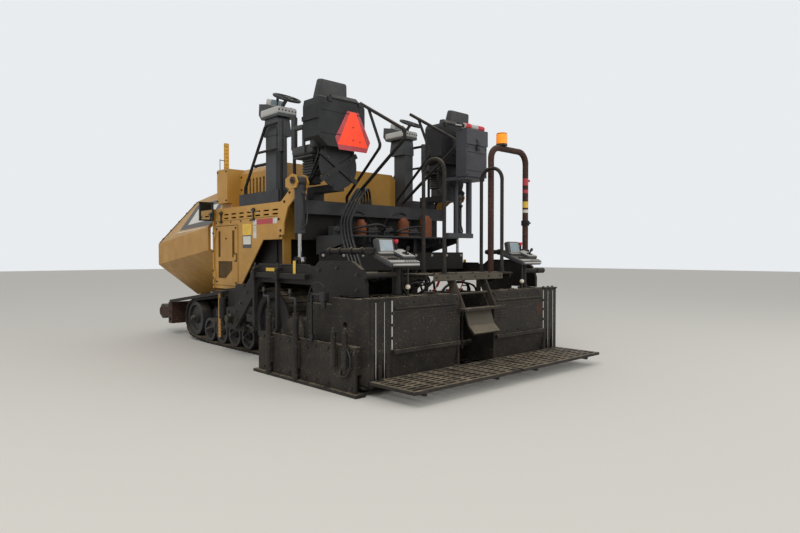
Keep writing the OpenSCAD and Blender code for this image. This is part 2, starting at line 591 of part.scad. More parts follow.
module extension() color(dark) {
  difference() {
    bx(panel_x, panel_x + 12, panel_start, panel_end - 20, 320, panel_top);
    for (y = [0:4]) for (z = [0:4]) ay_hole(panel_start + 60 + 26 * y, 480 + 26 * z);
  }
  bx(panel_x, 690, panel_start, panel_end, panel_top - 10, panel_top);
  bx(470, 560, panel_end - 220, panel_end, panel_top, panel_top + 12);
  for (y = [panel_start, panel_end - 24]) difference() {
    bx(panel_x + 4, 936, y, y + 24, 80, panel_top);
    for (z = tube_z) ay(tube_x, y - 10, y + 34, z, tube_d + 2 * fit);
  }
  for (y = [panel_end - 200, panel_end - 120, panel_end - 44]) {
    az(500, y, 62, panel_top, 44);
    bx(492, 530, y - 12, y + 12, 100, panel_top - 12);
  }
  bx(528, 936, panel_start, panel_end, 48, 62);
  py(panel_start, panel_end - 20, [[528, 62], [540, 62], [492, 320], [480, 320]]);
  bx(920, 936, panel_start, panel_end, 62, 480);
  bx(540, 936, 700, 712, 62, 200);
  bx(464, 484, panel_start + 40, panel_end - 260, 640, 652);
  bx(452, 470, panel_start + 20, panel_end - 240, 300, 330);
  for (y = [panel_start + 60, panel_end - 300]) bx(460, 500, y, y + 20, 300, 330);
}
module ay_hole(y, z) ax(panel_x - 10, panel_x + 30, y, z, 12);
module screed_console() {
  color(dark) {
    bx(550, 632, 800, 900, panel_top, panel_top + 14);
    az(600, 850, panel_top + 10, 1000, 56);
    ay(600, 850, 1180, 900, 44);
    ay(600, 1050, 1190, 900, 58);
  }
  color(steel) translate([620 - half, 0, 1040]) rotate([0, -20, 0]) {
    translate([-140, 690, -44]) cube([280, 320, 50]);
    translate([-10, 860, 0]) cube([140, 140, 70]);
    translate([20, 700, 0]) cube([100, 150, 30]);
  }
}
module walkway() color(dark) {
  difference() {
    bx(0, walk_x, 16, panel_end, walk_z - 24, walk_z);
    for (x = [32:56:430]) for (y = [48:120:1160]) bx(x, x + 32, y, y + 88, walk_z - 32, walk_z + 8);
  }
  for (y = [256, 1080]) {
    bx(40, 517, y, y + 24, walk_z - 56, walk_z - 24);
    bx(460, 517, y, y + 24, walk_z - 56, walk_z);
  }
}
module end_gate() color(dark) {
  bx(560, 1912, panel_end + 42, panel_end + 62, 24, 368);
  bx(512, 2000, panel_end + 0.3, panel_end + 96, 0, 24);
  for (x = [1312, 1736]) {
    az(x, panel_end + 90, 24, 576, 52);
    az(x, panel_end + 90, 576, 640, 30);
    bx(x - 40, x + 40, panel_end + 62, panel_end + 82, 120, 340);
  }
  bx(560, 928, panel_end + 0.3, panel_end + 42, 160, 368);
  for (x = [660, 800]) {
    az(x, panel_end + 82, 200, 470, 44);
    bx(x - 30, x + 30, panel_end + 62, panel_end + 74, 180, 360);
    bx(x - 16, x + 16, panel_end + 60, panel_end + 82, 220, 350);
  }
  bx(1880, 1960, panel_end + 42, panel_end + 62, 24, 300);
}

module both() { children(); right() children(); }
module frame_sides() color(dark) both() frame_side();
module lift_brackets() color(yellow) both() lift_bracket();
module tow_points() color(dark) both() tow_point();
module pedestals() color(dark) both() pedestal();
module seats() color(rubber) both() seat();
module seat_pods() color(dark) both() seat_pod();
module rails() color(dark) both() rail();

frame_sides();
frame_floor();
belt();  // belt_left
right() belt();  // belt_right
undercarriage();  // undercarriage_left
right() undercarriage();  // undercarriage_right
engine_block();
hopper_floor();
conveyor_bars();
hopper_bulkhead();
wing();  // hopper_wing_left
right() wing();  // hopper_wing_right
push_frame();
push_roller();  // push_roller_left
right() push_roller();  // push_roller_right
side_body();  // side_body_left
right() side_body();  // side_body_right
service_door();  // service_door_left
right() service_door();  // service_door_right
hood();
sight_gear();
deck();
rear_hydraulics();
lift_brackets();
lift_barrel();  // lift_barrel_left
right() lift_barrel();  // lift_barrel_right
lift_rod();  // lift_rod_left
right() lift_rod();  // lift_rod_right
tow_points();
pedestals();
seats();
seat_pods();
rails();
locker();
locker_lid();
auger_frame();
auger();  // auger_left
right() auger();  // auger_right
tow_arm();  // tow_arm_left
right() tow_arm();  // tow_arm_right
screed_frame();
centre_step();
beacon_mast();
extension();  // extension_left
right() extension();  // extension_right
screed_console();  // screed_console_left
right() screed_console();  // screed_console_right
walkway();  // walkway_left
right() walkway();  // walkway_right
end_gate();  // end_gate_left
right() end_gate();  // end_gate_right
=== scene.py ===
"""Dresses the tracked asphalt paver: finishes for every piece, seats, hoses, signs and small parts.

Places are in millimetres: the station from the rear edge of the walkway, the distance to the left and the height.
"""
import json
import math

import bmesh
import bpy
from mathutils import Matrix, Vector


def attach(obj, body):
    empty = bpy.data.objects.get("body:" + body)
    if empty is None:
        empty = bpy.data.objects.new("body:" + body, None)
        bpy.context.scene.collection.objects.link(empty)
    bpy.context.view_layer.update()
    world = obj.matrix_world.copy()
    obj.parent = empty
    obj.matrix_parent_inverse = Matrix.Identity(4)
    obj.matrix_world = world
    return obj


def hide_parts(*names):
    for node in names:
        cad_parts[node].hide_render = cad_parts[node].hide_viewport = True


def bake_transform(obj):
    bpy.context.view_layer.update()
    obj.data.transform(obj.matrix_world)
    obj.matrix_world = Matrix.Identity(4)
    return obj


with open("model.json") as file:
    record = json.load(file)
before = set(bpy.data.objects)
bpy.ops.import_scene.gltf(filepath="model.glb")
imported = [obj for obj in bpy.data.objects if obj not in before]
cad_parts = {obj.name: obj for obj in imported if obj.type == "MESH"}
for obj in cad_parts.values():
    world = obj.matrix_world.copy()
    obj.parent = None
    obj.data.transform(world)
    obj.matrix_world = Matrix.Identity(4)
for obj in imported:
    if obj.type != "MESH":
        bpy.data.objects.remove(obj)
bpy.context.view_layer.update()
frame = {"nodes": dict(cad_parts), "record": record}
nodes = frame["nodes"]
HALF_LENGTH = 2.72
SIDES = {"left": 1, "right": -1}
TWO_SIDED = ("wing", "roller", "door", "auger", "barrel", "extension", "gate")
OUT, BACK, UP = (0, 1, 0), (-1, 0, 0), (0, 0, 1)
DUST = "#9A8B73"
SLOT_OF = {}
FINISH = {}


def at(x, y, z):
    """A point from its station, side and height in millimetres."""
    return Vector((x / 1000 - HALF_LENGTH, y / 1000, z / 1000))


def about_y(degrees):
    return Matrix.Rotation(math.radians(degrees), 3, "Y")


def of_side(body, side):
    """A side's own body where there are two."""
    return f"{body}_{side}" if body in TWO_SIDED else body


def placed(name, data):
    """A new object in the scene."""
    made = bpy.data.objects.new(name, data)
    bpy.context.scene.collection.objects.link(made)
    return made


def rgba(hex_code):
    """An sRGB hex value as the linear colour that Blender wants."""
    parts = [int(hex_code[i:i + 2], 16) / 255 for i in (1, 3, 5)]
    return [p / 12.92 if p <= 0.04045 else ((p + 0.055) / 1.055) ** 2.4 for p in parts] + [1]


def add(tree, kind, settings=None, links=None):
    """Adds a node, sets its sockets and options, and links other nodes' outputs into it."""
    made = tree.nodes.new(kind)
    for key, value in (settings or {}).items():
        if isinstance(key, int) or key in made.inputs:
            made.inputs[key].default_value = value
        else:
            setattr(made, key, value)
    for key, source in (links or {}).items():
        tree.links.new(source, made.inputs[key])
    return made


def shader(name, slot=None):
    """A new material with its tree, its Principled shader and the object's own coordinates.

    The first one made for a slot dresses that slot's pieces from the frame.
    """
    made = bpy.data.materials.new(name)
    SLOT_OF[made.name] = slot
    FINISH.setdefault(slot, made)
    made.use_nodes = True
    tree = made.node_tree
    tree.nodes.clear()
    coords = add(tree, "ShaderNodeTexCoord").outputs["Object"]
    surface = add(tree, "ShaderNodeBsdfPrincipled")
    add(tree, "ShaderNodeOutputMaterial", links={"Surface": surface.outputs[0]})
    return made, tree, surface, coords


def noise(tree, coords, scale, detail=4, rough=0.6):
    made = add(tree, "ShaderNodeTexNoise", {"Scale": scale, "Detail": detail, "Roughness": rough}, {"Vector": coords})
    return made.outputs[0]


def mask(tree, value, low, high, top=1.0):
    """How far value has gone from low to high, up to top."""
    made = add(tree, "ShaderNodeMapRange", {"From Min": low, "From Max": high, "To Max": top}, {"Value": value})
    return made.outputs[0]


def fill(tree, made, keys, values, kind, convert=lambda value: value):
    """Sets a node's inputs, each from a plain value of a kind or from another node's output."""
    for key, value in zip(keys, values):
        if isinstance(value, kind):
            made.inputs[key].default_value = convert(value)
        else:
            tree.links.new(value, made.inputs[key])


def mixed(tree, amount, first, second):
    """Two colours mixed, each one a hex value or another node's output."""
    made = add(tree, "ShaderNodeMix", {"data_type": "RGBA"}, {0: amount})
    fill(tree, made, (6, 7), (first, second), str, rgba)
    return made.outputs[2]


def sums(tree, kind, first, second):
    """Two values added or multiplied, each one a number or another node's output."""
    made = add(tree, "ShaderNodeMath", {"operation": kind})
    fill(tree, made, (0, 1), (first, second), (int, float))
    return made.outputs[0]


def worn(name, slot, base, shade, grime, chip, rough=0.5, metal=0.0, dust=0.5, chips=0.62, low=0.7, lumps=0.0,
         grain=220, gloss=0.5):
    """A finish that has worked outdoors.

    base and shade drift over half a metre, grime gathers towards the ground and in patches of 150 mm,
    dust lies on what faces up, and chips a few millimetres across show what is underneath.
    """
    made, tree, surface, coords = shader(name, slot)
    drift = noise(tree, coords, 2.2, 3)
    patches = noise(tree, coords, 7, 6, 0.65)
    specks = noise(tree, coords, 60, 5, 0.7)
    height = add(tree, "ShaderNodeSeparateXYZ", links={0: coords}).outputs[2]
    normal = add(tree, "ShaderNodeNewGeometry").outputs["Normal"]
    facing = add(tree, "ShaderNodeSeparateXYZ", links={0: normal}).outputs[2]
    tone = mixed(tree, mask(tree, drift, 0.35, 0.7), base, shade)
    fall = sums(tree, "ADD", mask(tree, height, 1.5, 0.1, low), 0.12)
    tone = mixed(tree, sums(tree, "MULTIPLY", mask(tree, patches, 0.35, 0.7), fall), tone, grime)
    top = sums(tree, "MULTIPLY", mask(tree, facing, 0.4, 0.95, dust), mask(tree, patches, 0.3, 0.6))
    tone = mixed(tree, top, tone, DUST)
    bare = sums(tree, "ADD", specks, sums(tree, "MULTIPLY", patches, 0.25))
    tone = mixed(tree, mask(tree, bare, chips + 0.13, chips + 0.17), tone, chip)
    tree.links.new(tone, surface.inputs["Base Color"])
    spread = add(tree, "ShaderNodeMapRange", {"To Min": rough - 0.1, "To Max": min(0.95, rough + 0.2)},
                 {"Value": mask(tree, patches, 0.2, 0.8)})
    tree.links.new(spread.outputs[0], surface.inputs["Roughness"])
    surface.inputs["Metallic"].default_value = metal
    surface.inputs["Specular IOR Level"].default_value = gloss
    fine = noise(tree, coords, grain, 3)
    bump = add(tree, "ShaderNodeBump", {"Strength": 0.35, "Distance": 0.0006}, {"Height": fine})
    if lumps:
        crust = mask(tree, noise(tree, coords, 38, 6, 0.7), 0.45, 0.75)
        bump = add(tree, "ShaderNodeBump", {"Strength": 0.9, "Distance": lumps},
                   {"Height": crust, "Normal": bump.outputs[0]})
    tree.links.new(bump.outputs[0], surface.inputs["Normal"])
    return made


def flat_finish(name, slot, base, rough=0.5, metal=0.0, shade=None, grain=300, depth=0.0003, glow=0.0):
    """A small part's finish: one colour that drifts a little, with a fine grain."""
    made, tree, surface, coords = shader(name, slot)
    tone = mixed(tree, mask(tree, noise(tree, coords, 14, 5), 0.4, 0.7), base, shade or base)
    tree.links.new(tone, surface.inputs["Base Color"])
    surface.inputs["Roughness"].default_value = rough
    surface.inputs["Metallic"].default_value = metal
    if glow:
        tree.links.new(tone, surface.inputs["Emission Color"])
        surface.inputs["Emission Strength"].default_value = glow
    bump = add(tree, "ShaderNodeBump", {"Strength": 0.3, "Distance": depth}, {"Height": noise(tree, coords, grain, 2)})
    tree.links.new(bump.outputs[0], surface.inputs["Normal"])
    return made


# Enamel over steel: an even yellow coat, chalky from the sun, with brown dirt low down and small rust chips
YELLOW_ENAMEL = worn("yellow_enamel", "yellow_paint", "#BD8D3E", "#AC7D31", "#735831", "#5B361D",
                     rough=0.42, dust=0.35, chips=0.68, low=0.45)
# Black enamel under asphalt splashes: near black, dull, crusted in lumps of a few millimetres
BLACK_ENAMEL = worn("black_enamel", "black_paint", "#171615", "#211F1D", "#352E27", "#5C554C",
                    rough=0.55, chips=0.66, lumps=0.0015, gloss=0.28)
# Screed paint: black enamel worn grey-brown by hot mix, thickly crusted
SCREED_ENAMEL = worn("screed_enamel", "black_paint", "#1F1D1B", "#2A2623", "#3E362D", "#6E6559",
                     rough=0.62, dust=0.65, low=0.75, lumps=0.003, gloss=0.28)
# Grey enamel of hydraulic cylinders and wheels, dusty and stained by oil
GREY_ENAMEL = worn("grey_enamel", "grey_paint", "#303033", "#3A3A3B", "#38302A", "#221F1D",
                   chips=0.66, low=0.6, lumps=0.001, gloss=0.35)
# Slate enamel of the locker: a newer coat than the rest, only dusty
SLATE_ENAMEL = worn("slate_enamel", "grey_paint", "#48494E", "#404146", "#3B352E", "#2A2826",
                    dust=0.4, chips=0.7, low=0.3, gloss=0.35)
# Wear plate: mild steel polished by asphalt, brown where it rests
worn("wear_steel", "bare_steel", "#5E574F", "#463D35", "#3C3128", "#8A8379",
     metal=0.55, dust=0.3, chips=0.6, low=0.6, lumps=0.002)
# Hard chrome on a piston rod: a bright mirror with a film of dust
HARD_CHROME = worn("hard_chrome", "chrome_rod", "#C9C9C7", "#BDBCB8", "#8F8779", "#A09A8C",
                   rough=0.18, metal=0.95, dust=0.1, chips=0.72, low=0.2)
# Track rubber: matt black gone grey, packed with dry dust
worn("track_rubber", "rubber_belt", "#141312", "#1D1B19", "#41382D", "#2B2621",
     rough=0.8, chips=0.6, low=0.6, lumps=0.0015, gloss=0.25)
# Moulded plastic of the pedestals: dark grey with a fine leather grain, chalky from the sun
MOULDED_PLASTIC = worn("moulded_plastic", "black_plastic", "#2E3032", "#3A3C3E", "#4A453D", "#55524C",
                       rough=0.48, dust=0.45, chips=0.7, low=0.3, grain=500)
# Moulded plastic of the seat pods: the same grain, nearly black
POD_PLASTIC = worn("pod_plastic", "black_plastic", "#1B1C1E", "#232426", "#35302A", "#403D39",
                   rough=0.48, dust=0.4, chips=0.7, low=0.3, grain=500, gloss=0.3)
# Steel plate that boots have scuffed: black coat under a tan film of dust
DUSTY_PLATE = worn("dusty_plate", "black_paint", "#4A443B", "#585146", "#5E5445", "#2C2824",
                   rough=0.7, chips=0.6, low=0.5, lumps=0.001, gloss=0.3)
# Pale grey fascia: satin enamel on folded sheet
GREY_FASCIA = worn("grey_fascia", "silver_panel", "#B9B8B4", "#A5A49F", "#877E6F", "#5E5A53",
                   rough=0.4, dust=0.3, chips=0.68, low=0.3)
# Rust-brown paint: oxide primer and rust showing through a thin black coat
RUST_PAINT = worn("rust_paint", "rust_paint", "#38251F", "#472C24", "#382D23", "#6F4531",
                  rough=0.7, dust=0.35, chips=0.58, low=0.6, lumps=0.0012, gloss=0.3)
# Coated vinyl of seats: black, grained a millimetre apart, with a low sheen
SEAT_VINYL = flat_finish("seat_vinyl", "black_plastic", "#2B2B2C", 0.52, shade="#3A3836", grain=900, depth=0.0006)
# Hydraulic hose: smooth black rubber, dusty
HOSE_RUBBER = flat_finish("hose_rubber", "black_plastic", "#121212", 0.42, shade="#211F1C")
# Fluorescent film of the slow vehicle triangle, and the red retroreflective film round it; the orange film is given a
# painted glow
SIGN_ORANGE = flat_finish("sign_orange", "yellow_paint", "#F83C04", shade="#F94208", glow=0.2)
SIGN_RED = flat_finish("sign_red", "yellow_paint", "#A61A26", 0.35, shade="#B82A36")
# Bright yellow enamel of the sight bar's faces
SIGHT_YELLOW = flat_finish("sight_yellow", "yellow_paint", "#D9A32A", shade="#B98A24")
# Amber polycarbonate lens
AMBER_LENS = flat_finish("amber_lens", "yellow_paint", "#FF9410", 0.25, shade="#FFA51F", glow=0.3)
# Retroreflective tape, white and red, gone a little dull
TAPE_WHITE = flat_finish("tape_white", "silver_panel", "#CFCCC4", 0.35, shade="#AFA899")
TAPE_RED = flat_finish("tape_red", "rust_paint", "#B2333A", 0.35, shade="#9C3A3A")
# Blank label stock: pale yellow and white film
LABEL_YELLOW = flat_finish("label_yellow", "yellow_paint", "#E0B83C", 0.4, shade="#CFA637")
LABEL_WHITE = flat_finish("label_white", "silver_panel", "#D5D2C8", 0.4, shade="#BBB5A5")
# Dark grey film on the wings and panels
FILM_GREY = flat_finish("film_grey", "black_plastic", "#4C4A48", shade="#42403E")
# Zinc plated bolt heads gone dull
ZINC_BOLT = flat_finish("zinc_bolt", "bare_steel", "#514C45", metal=0.7, shade="#3A342D")
# Woven wire mesh behind the door's openings, dusty
MESH_WIRE = flat_finish("mesh_wire", "black_paint", "#51483A", 0.7, metal=0.3, shade="#41382C")
# Liquid crystal glass of a display
DISPLAY_GLASS = flat_finish("display_glass", "black_plastic", "#8FA0A8", 0.12, shade="#7B8C95")
# Plastic of knobs and small mouldings: red, pale and black
KNOB_RED = flat_finish("knob_red", "rust_paint", "#C4202A", 0.35)
KNOB_PALE = flat_finish("knob_pale", "silver_panel", "#D8CDB8", 0.4)
KNOB_BLACK = flat_finish("knob_black", "black_plastic", "#131313", 0.4)
# Mirror glass
MIRROR_GLASS = flat_finish("mirror_glass", "chrome_rod", "#E6EAEC", 0.04, metal=1.0, depth=0.0)
# Orange enamel of the pumps behind the rear platform
PUMP_ORANGE = worn("pump_orange", "rust_paint", "#8A4822", "#6E3C20", "#3A2E24", "#2E221B",
                   rough=0.55, dust=0.4, low=0.5)

# Pieces from the frame whose finish isn't the first of their slot
OWN_FINISH = dict.fromkeys(("screed_frame", "extension", "end_gate", "walkway", "centre_step", "auger_frame"),
                           SCREED_ENAMEL)
OWN_FINISH.update(tow_arm=BLACK_ENAMEL, deck=GREY_ENAMEL, locker=SLATE_ENAMEL, locker_lid=SLATE_ENAMEL,
                  seat_pods=POD_PLASTIC)
for part in frame["record"]["subparts"]:
    plain = part["node"].replace("_left", "").replace("_right", "")
    mesh = nodes[part["node"]].data
    mesh.materials.clear()
    mesh.materials.append(OWN_FINISH.get(plain, FINISH[part["material_slot"]]))


class Piece:
    """A mesh in the making, in millimetres, that rides on its body once its with block ends."""

    def __init__(self, name, finish, body="tractor", slot=None, smooth=False):
        self.name, self.body, self.smooth = name, body, smooth
        self.finishes = finish if isinstance(finish, tuple) else (finish,)
        self.slot = slot or SLOT_OF[self.finishes[0].name]

    def __enter__(self):
        self.form = bmesh.new()
        return self

    def __exit__(self, *failure):
        self.made = self.dressed(self.name, self.body)
        self.form.free()

    def dressed(self, name, body):
        """The mesh as it stands, as an object on a body."""
        bmesh.ops.recalc_face_normals(self.form, faces=self.form.faces)
        mesh = bpy.data.meshes.new(name)
        self.form.to_mesh(mesh)
        made = placed(name, mesh)
        for finish in self.finishes:
            mesh.materials.append(finish)
        for face in mesh.polygons:
            face.use_smooth = self.smooth
        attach(made, body)
        return made

    def block(self, low, high, edge=0.0, turn=0):
        """A block between two corners, with its edges rounded, turned about its middle by degrees."""
        a, b = at(*low), at(*high)
        made = bmesh.ops.create_cube(self.form, size=1.0)["verts"]
        bmesh.ops.scale(self.form, vec=[abs(span) for span in b - a], verts=made)
        if edge:
            edges = list(dict.fromkeys(e for v in made for e in v.link_edges))
            out = bmesh.ops.bevel(self.form, geom=edges, offset=edge / 1000, segments=2, profile=0.5, affect="EDGES",
                                  material=-1)
            made = list(dict.fromkeys([v for v in made if v.is_valid] + out["verts"]))
        if turn:
            bmesh.ops.rotate(self.form, cent=(0, 0, 0), matrix=about_y(turn), verts=made)
        bmesh.ops.translate(self.form, vec=(a + b) / 2, verts=made)
        return made

    def bar(self, start, end, width, sides=16, taper=1.0):
        """A round bar between two points, narrowed to its taper at the end."""
        a, b = at(*start), at(*end)
        run = b - a
        made = bmesh.ops.create_cone(self.form, cap_ends=True, segments=sides, radius1=width / 2000,
                                     radius2=width * taper / 2000, depth=run.length)["verts"]
        spin = Vector(UP).rotation_difference(run).to_matrix()
        bmesh.ops.rotate(self.form, cent=(0, 0, 0), matrix=spin, verts=made)
        bmesh.ops.translate(self.form, vec=(a + b) / 2, verts=made)

    def post(self, x, y, low, high, *shape):
        """An upright bar between two heights."""
        self.bar((x, y, low), (x, y, high), *shape)

    def bolts(self, spots, axis, width=22):
        """Hexagon heads on washers, each at a place, standing out along an axis."""
        out = Vector(axis)
        for spot in spots:
            base = Vector(spot)
            self.bar(base - out * 2, base + out * 3, width * 1.5, 14)
            self.bar(base + out * 2, base + out * (3 + width * 0.5), width, 6, 0.92)

    def prism(self, ring, shift):
        """A flat ring of places made solid by a shift."""
        face = self.form.faces.new([self.form.verts.new(at(*place)) for place in ring])
        out = bmesh.ops.extrude_face_region(self.form, geom=[face])["geom"]
        ends = [v for v in out if isinstance(v, bmesh.types.BMVert)]
        bmesh.ops.translate(self.form, vec=Vector(shift) / 1000, verts=ends)

    def tilt(self, degrees, pivot):
        """Turns all that is there about a line along Y through a pivot."""
        bmesh.ops.rotate(self.form, cent=at(*pivot), matrix=about_y(degrees), verts=self.form.verts)

    def wires(self, outline, face, pitch=13, wire=2.6):
        """Woven wire over an opening in a side panel, given as stations and heights, at a distance from the middle."""
        for k in (0, 1):
            reach = [p[k] for p in outline]
            depth = (face - (1 + 0.6 * k) * wire, face - 0.6 * k * wire)
            place = min(reach) + pitch / 2
            while place < max(reach):
                cuts = []
                for a, b in zip(outline, outline[1:] + outline[:1]):
                    if (a[k] - place) * (b[k] - place) < 0:
                        cuts.append(a[1 - k] + (b[1 - k] - a[1 - k]) * (place - a[k]) / (b[k] - a[k]))
                if len(cuts) > 1:
                    ends = ((place - wire / 2, place + wire / 2), (min(cuts), max(cuts)))
                    x, z = ends[k], ends[1 - k]
                    self.block((x[0], depth[0], z[0]), (x[1], depth[1], z[1]))
                place += pitch


class Twin(Piece):
    """A piece of the left side, with its mirror image on the right."""

    def __exit__(self, *failure):
        self.made = []
        for side, m in SIDES.items():
            bmesh.ops.scale(self.form, vec=(1, m, 1), verts=self.form.verts)
            self.made.append(self.dressed(f"{self.name}_{side}", of_side(self.body, side)))
        self.form.free()


def smooth(points, steps=6):
    """Points of a smooth line through places in millimetres, in metres."""
    p = [at(*place) for place in points]
    p = [p[0] * 2 - p[1]] + p + [p[-1] * 2 - p[-2]]
    line = []
    for a, b, c, d in zip(p, p[1:], p[2:], p[3:]):
        for k in range(steps):
            t = k / steps
            line.append(0.5 * ((2 * b) + (c - a) * t + (2 * a - 5 * b + 4 * c - d) * t ** 2
                               + (3 * b - a - 3 * c + d) * t ** 3))
    return line + [p[-2]]


def hose(name, points, width, body="tractor", crosses=None):
    """A hose or cable on one smooth line. A free one rides on its body; one that crosses a joint is made a mesh that
    stays where it is.
    """
    path = smooth(points)
    curve = bpy.data.curves.new(name, "CURVE")
    curve.dimensions = "3D"
    curve.bevel_depth = width / 2000
    curve.bevel_resolution = 2
    curve.use_fill_caps = True
    line = curve.splines.new("POLY")
    line.points.add(len(path) - 1)
    for dot, place in zip(line.points, path):
        dot.co = (*place, 1)
    piece = placed(name, curve)
    curve.materials.append(HOSE_RUBBER)
    if crosses:
        bpy.context.view_layer.update()
        mesh = bpy.data.meshes.new_from_object(piece.evaluated_get(bpy.context.evaluated_depsgraph_get()))
        bpy.data.objects.remove(piece)
        piece = placed(name, mesh)
        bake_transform(piece)
    else:
        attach(piece, body)


def twin_hose(name, points, width, body="tractor"):
    """A hose on each side."""
    for side, m in SIDES.items():
        hose(f"{name}_{side}", [(x, y * m, z) for x, y, z in points], width, of_side(body, side))


def hoses(name, rows, body="tractor"):
    """Free hoses, numbered from 1: each row lists its places and then its width."""
    for k, (*points, width) in enumerate(rows, 1):
        hose(f"{name}_{k}", points, width, body)


# Camera where the photographer stood: behind the left rear corner, at eye level of a person crouching a little
camera = placed("camera", bpy.data.cameras.new("camera"))
camera.data.lens = 27
camera.data.sensor_width = 36
camera.location = (-5.624, 4.088, 1.056)
camera.rotation_euler = Vector((0.731, -0.682, -0.0192)).to_track_quat("-Z", "Y").to_euler()
bpy.context.scene.camera = camera

# Distances from the middle: an operator's station, a side body's face, its door's face and the lift cylinders
STATION_Y, SIDE_FACE, DOOR_FACE, LIFT_Y = 850, 1000, 1006, 1064
# Cushions: name, middle, size, how much it swells, and the tilt in degrees
CUSHIONS = (
    ("seat_cushion", (1730, STATION_Y, 2012), (330, 300, 112), 18, 0),
    ("seat_back", (1510, STATION_Y, 2314), (96, 318, 600), 16, -10),
    ("arm_pad_inner", (1722, 675, 2210), (156, 44, 42), 4, 0),
    ("arm_pad_outer", (1722, 1025, 2210), (156, 44, 42), 4, 0),
)


def cushion(name, middle, size, swell, tilt):
    """A crowned pad with a seam round its edge and two sewn channels where it is large."""
    with Twin(name, SEAT_VINYL, smooth=True) as p:
        form = p.form
        bmesh.ops.create_cube(form, size=1.0)
        bmesh.ops.scale(form, vec=Vector(size) / 1000, verts=form.verts)
        bmesh.ops.bevel(form, geom=form.edges[:], offset=min(size) / 3600, segments=3, profile=0.6, affect="EDGES",
                        material=-1)
        bmesh.ops.subdivide_edges(form, edges=form.edges[:], cuts=3, use_grid_fill=True)
        reach = [s / 2000 for s in size]
        flat = size.index(min(size))
        others = [k for k in range(3) if k != flat]
        for v in form.verts:
            if name == "seat_back":
                up = v.co.z / reach[2]
                v.co.y *= 1.08 - 0.3 * max(0, up - 0.45) - 0.1 * max(0, -up)
            u = [v.co[k] / reach[k] for k in others]
            crown = max(0.0, (1 - u[0] ** 4) * (1 - u[1] ** 4))
            channel = sum(math.exp(-((u[1] - c) / 0.045) ** 2) for c in (-0.33, 0.33)) if max(size) > 280 else 0
            sewn = 0.10 * channel * (1 if v.co[flat] > 0 else 0.2)
            v.co[flat] *= 1 - swell / 1000 / reach[flat] * (1 - crown) - sewn
        bmesh.ops.rotate(form, cent=(0, 0, 0), matrix=about_y(tilt), verts=form.verts)
        bmesh.ops.translate(form, vec=at(*middle), verts=form.verts)
    return p.made[0]


pads = [cushion(*row) for row in CUSHIONS]
# Seat post: foot, rubber bellows, tray under the cushion and the arms' stems
with Twin("seat_post", MOULDED_PLASTIC) as p:
    p.block((1690, STATION_Y - 45, 1712), (1830, STATION_Y + 45, 1800), 8)
    for z in range(1800, 1950, 25):
        p.block((1672, STATION_Y - 62, z), (1848, STATION_Y + 62, z + 22), 9)
    p.block((1580, STATION_Y - 140, 1945), (1880, STATION_Y + 140, 1962), 5)
    for y in (STATION_Y - 160, STATION_Y + 160):
        p.block((1654, y - 10, 1975), (1686, y + 10, 2195), 4)
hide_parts("seats")

# Slow vehicle triangle on the left pod's rear: a red border 406 mm wide, a fluorescent face with a painted glow, and
# two screws
BORDER = ((-160, 0), (-203, 102), (-64, 356), (64, 356), (203, 102), (160, 0))
CENTRE = ((-174, 44), (-34, 350), (34, 350), (174, 44))
with Piece("slow_vehicle_triangle", (SIGN_RED, SIGN_ORANGE)) as p:
    for outline, depth in ((BORDER, 2.0), (CENTRE, 3.2)):
        p.prism([(1399 - depth, 660 - u, 2000 + v) for u, v in outline], (1.5, 0, 0))
    for face in p.form.faces:
        face.material_index = int(face.calc_center_median()[0] < at(1396.6, 0, 0)[0])

# Openings of the service door, as stations and heights
DOOR_OPENINGS = (
    ((3310, 1032), (3366, 1032), (3366, 1320), (3310, 1320)),
    ((2990, 1032), (3046, 1032), (3046, 1320), (2990, 1320)),
    ((3366, 990), (3366, 800), (3190, 800), (3040, 900), (3040, 990)),
)
# Films on a side body, all blank: name, finish, and rows of two stations, two heights and a thickness
FILMS = (
    ("tape_white", TAPE_WHITE, ((2535, 2608, 1363, 1416, 1), (2101, 2222, 1363, 1416, 1), (2540, 2604, 1226, 1355, 1))),
    ("tape_red", TAPE_RED, ((2222, 2535, 1363, 1416, 1),)),
    ("label_upper", LABEL_YELLOW, ((2640, 2824, 1262, 1378, 1),)),
    ("label_lower", LABEL_WHITE, ((2652, 2812, 1166, 1250, 1.4),)),
    ("label_frame", FILM_GREY, ((2640, 2824, 1128, 1260, 0.8),)),
)
# Track wheels: station and height of the axle, radius and number of nuts
WHEELS = [(2456, 362, 334, 12), (4304, 272, 211, 10)] + [(2984 + 304 * k, 166, 138, 6) for k in range(4)]
WHEEL_FACE = 857.5

# Service door: wire mesh set into its openings, a lip round each, a latch and its screws
with Twin("door_mesh", MESH_WIRE, "door") as p:
    for outline in DOOR_OPENINGS:
        p.wires(outline, 1001)
with Twin("door_lip", YELLOW_ENAMEL, "door") as p:
    for outline in DOOR_OPENINGS:
        for a, b in zip(outline, outline[1:] + outline[:1]):
            p.bar((a[0], 1005.5, a[1]), (b[0], 1005.5, b[1]), 5, 8)
with Twin("door_screws", ZINC_BOLT, "door") as p:
    p.bolts([(x, DOOR_FACE, z) for x in (2960, 3400) for z in (760, 1345)], OUT, 16)
    p.bolts([(3178, DOOR_FACE, 1235)], OUT, 14)
    p.block((2938, DOOR_FACE, 985), (2992, 1011, 1075), 2)
for name, finish, rows in FILMS:
    with Twin(name, finish) as p:
        for x0, x1, z0, z1, thick in rows:
            p.block((x0, SIDE_FACE, z0), (x1, SIDE_FACE + thick, z1))
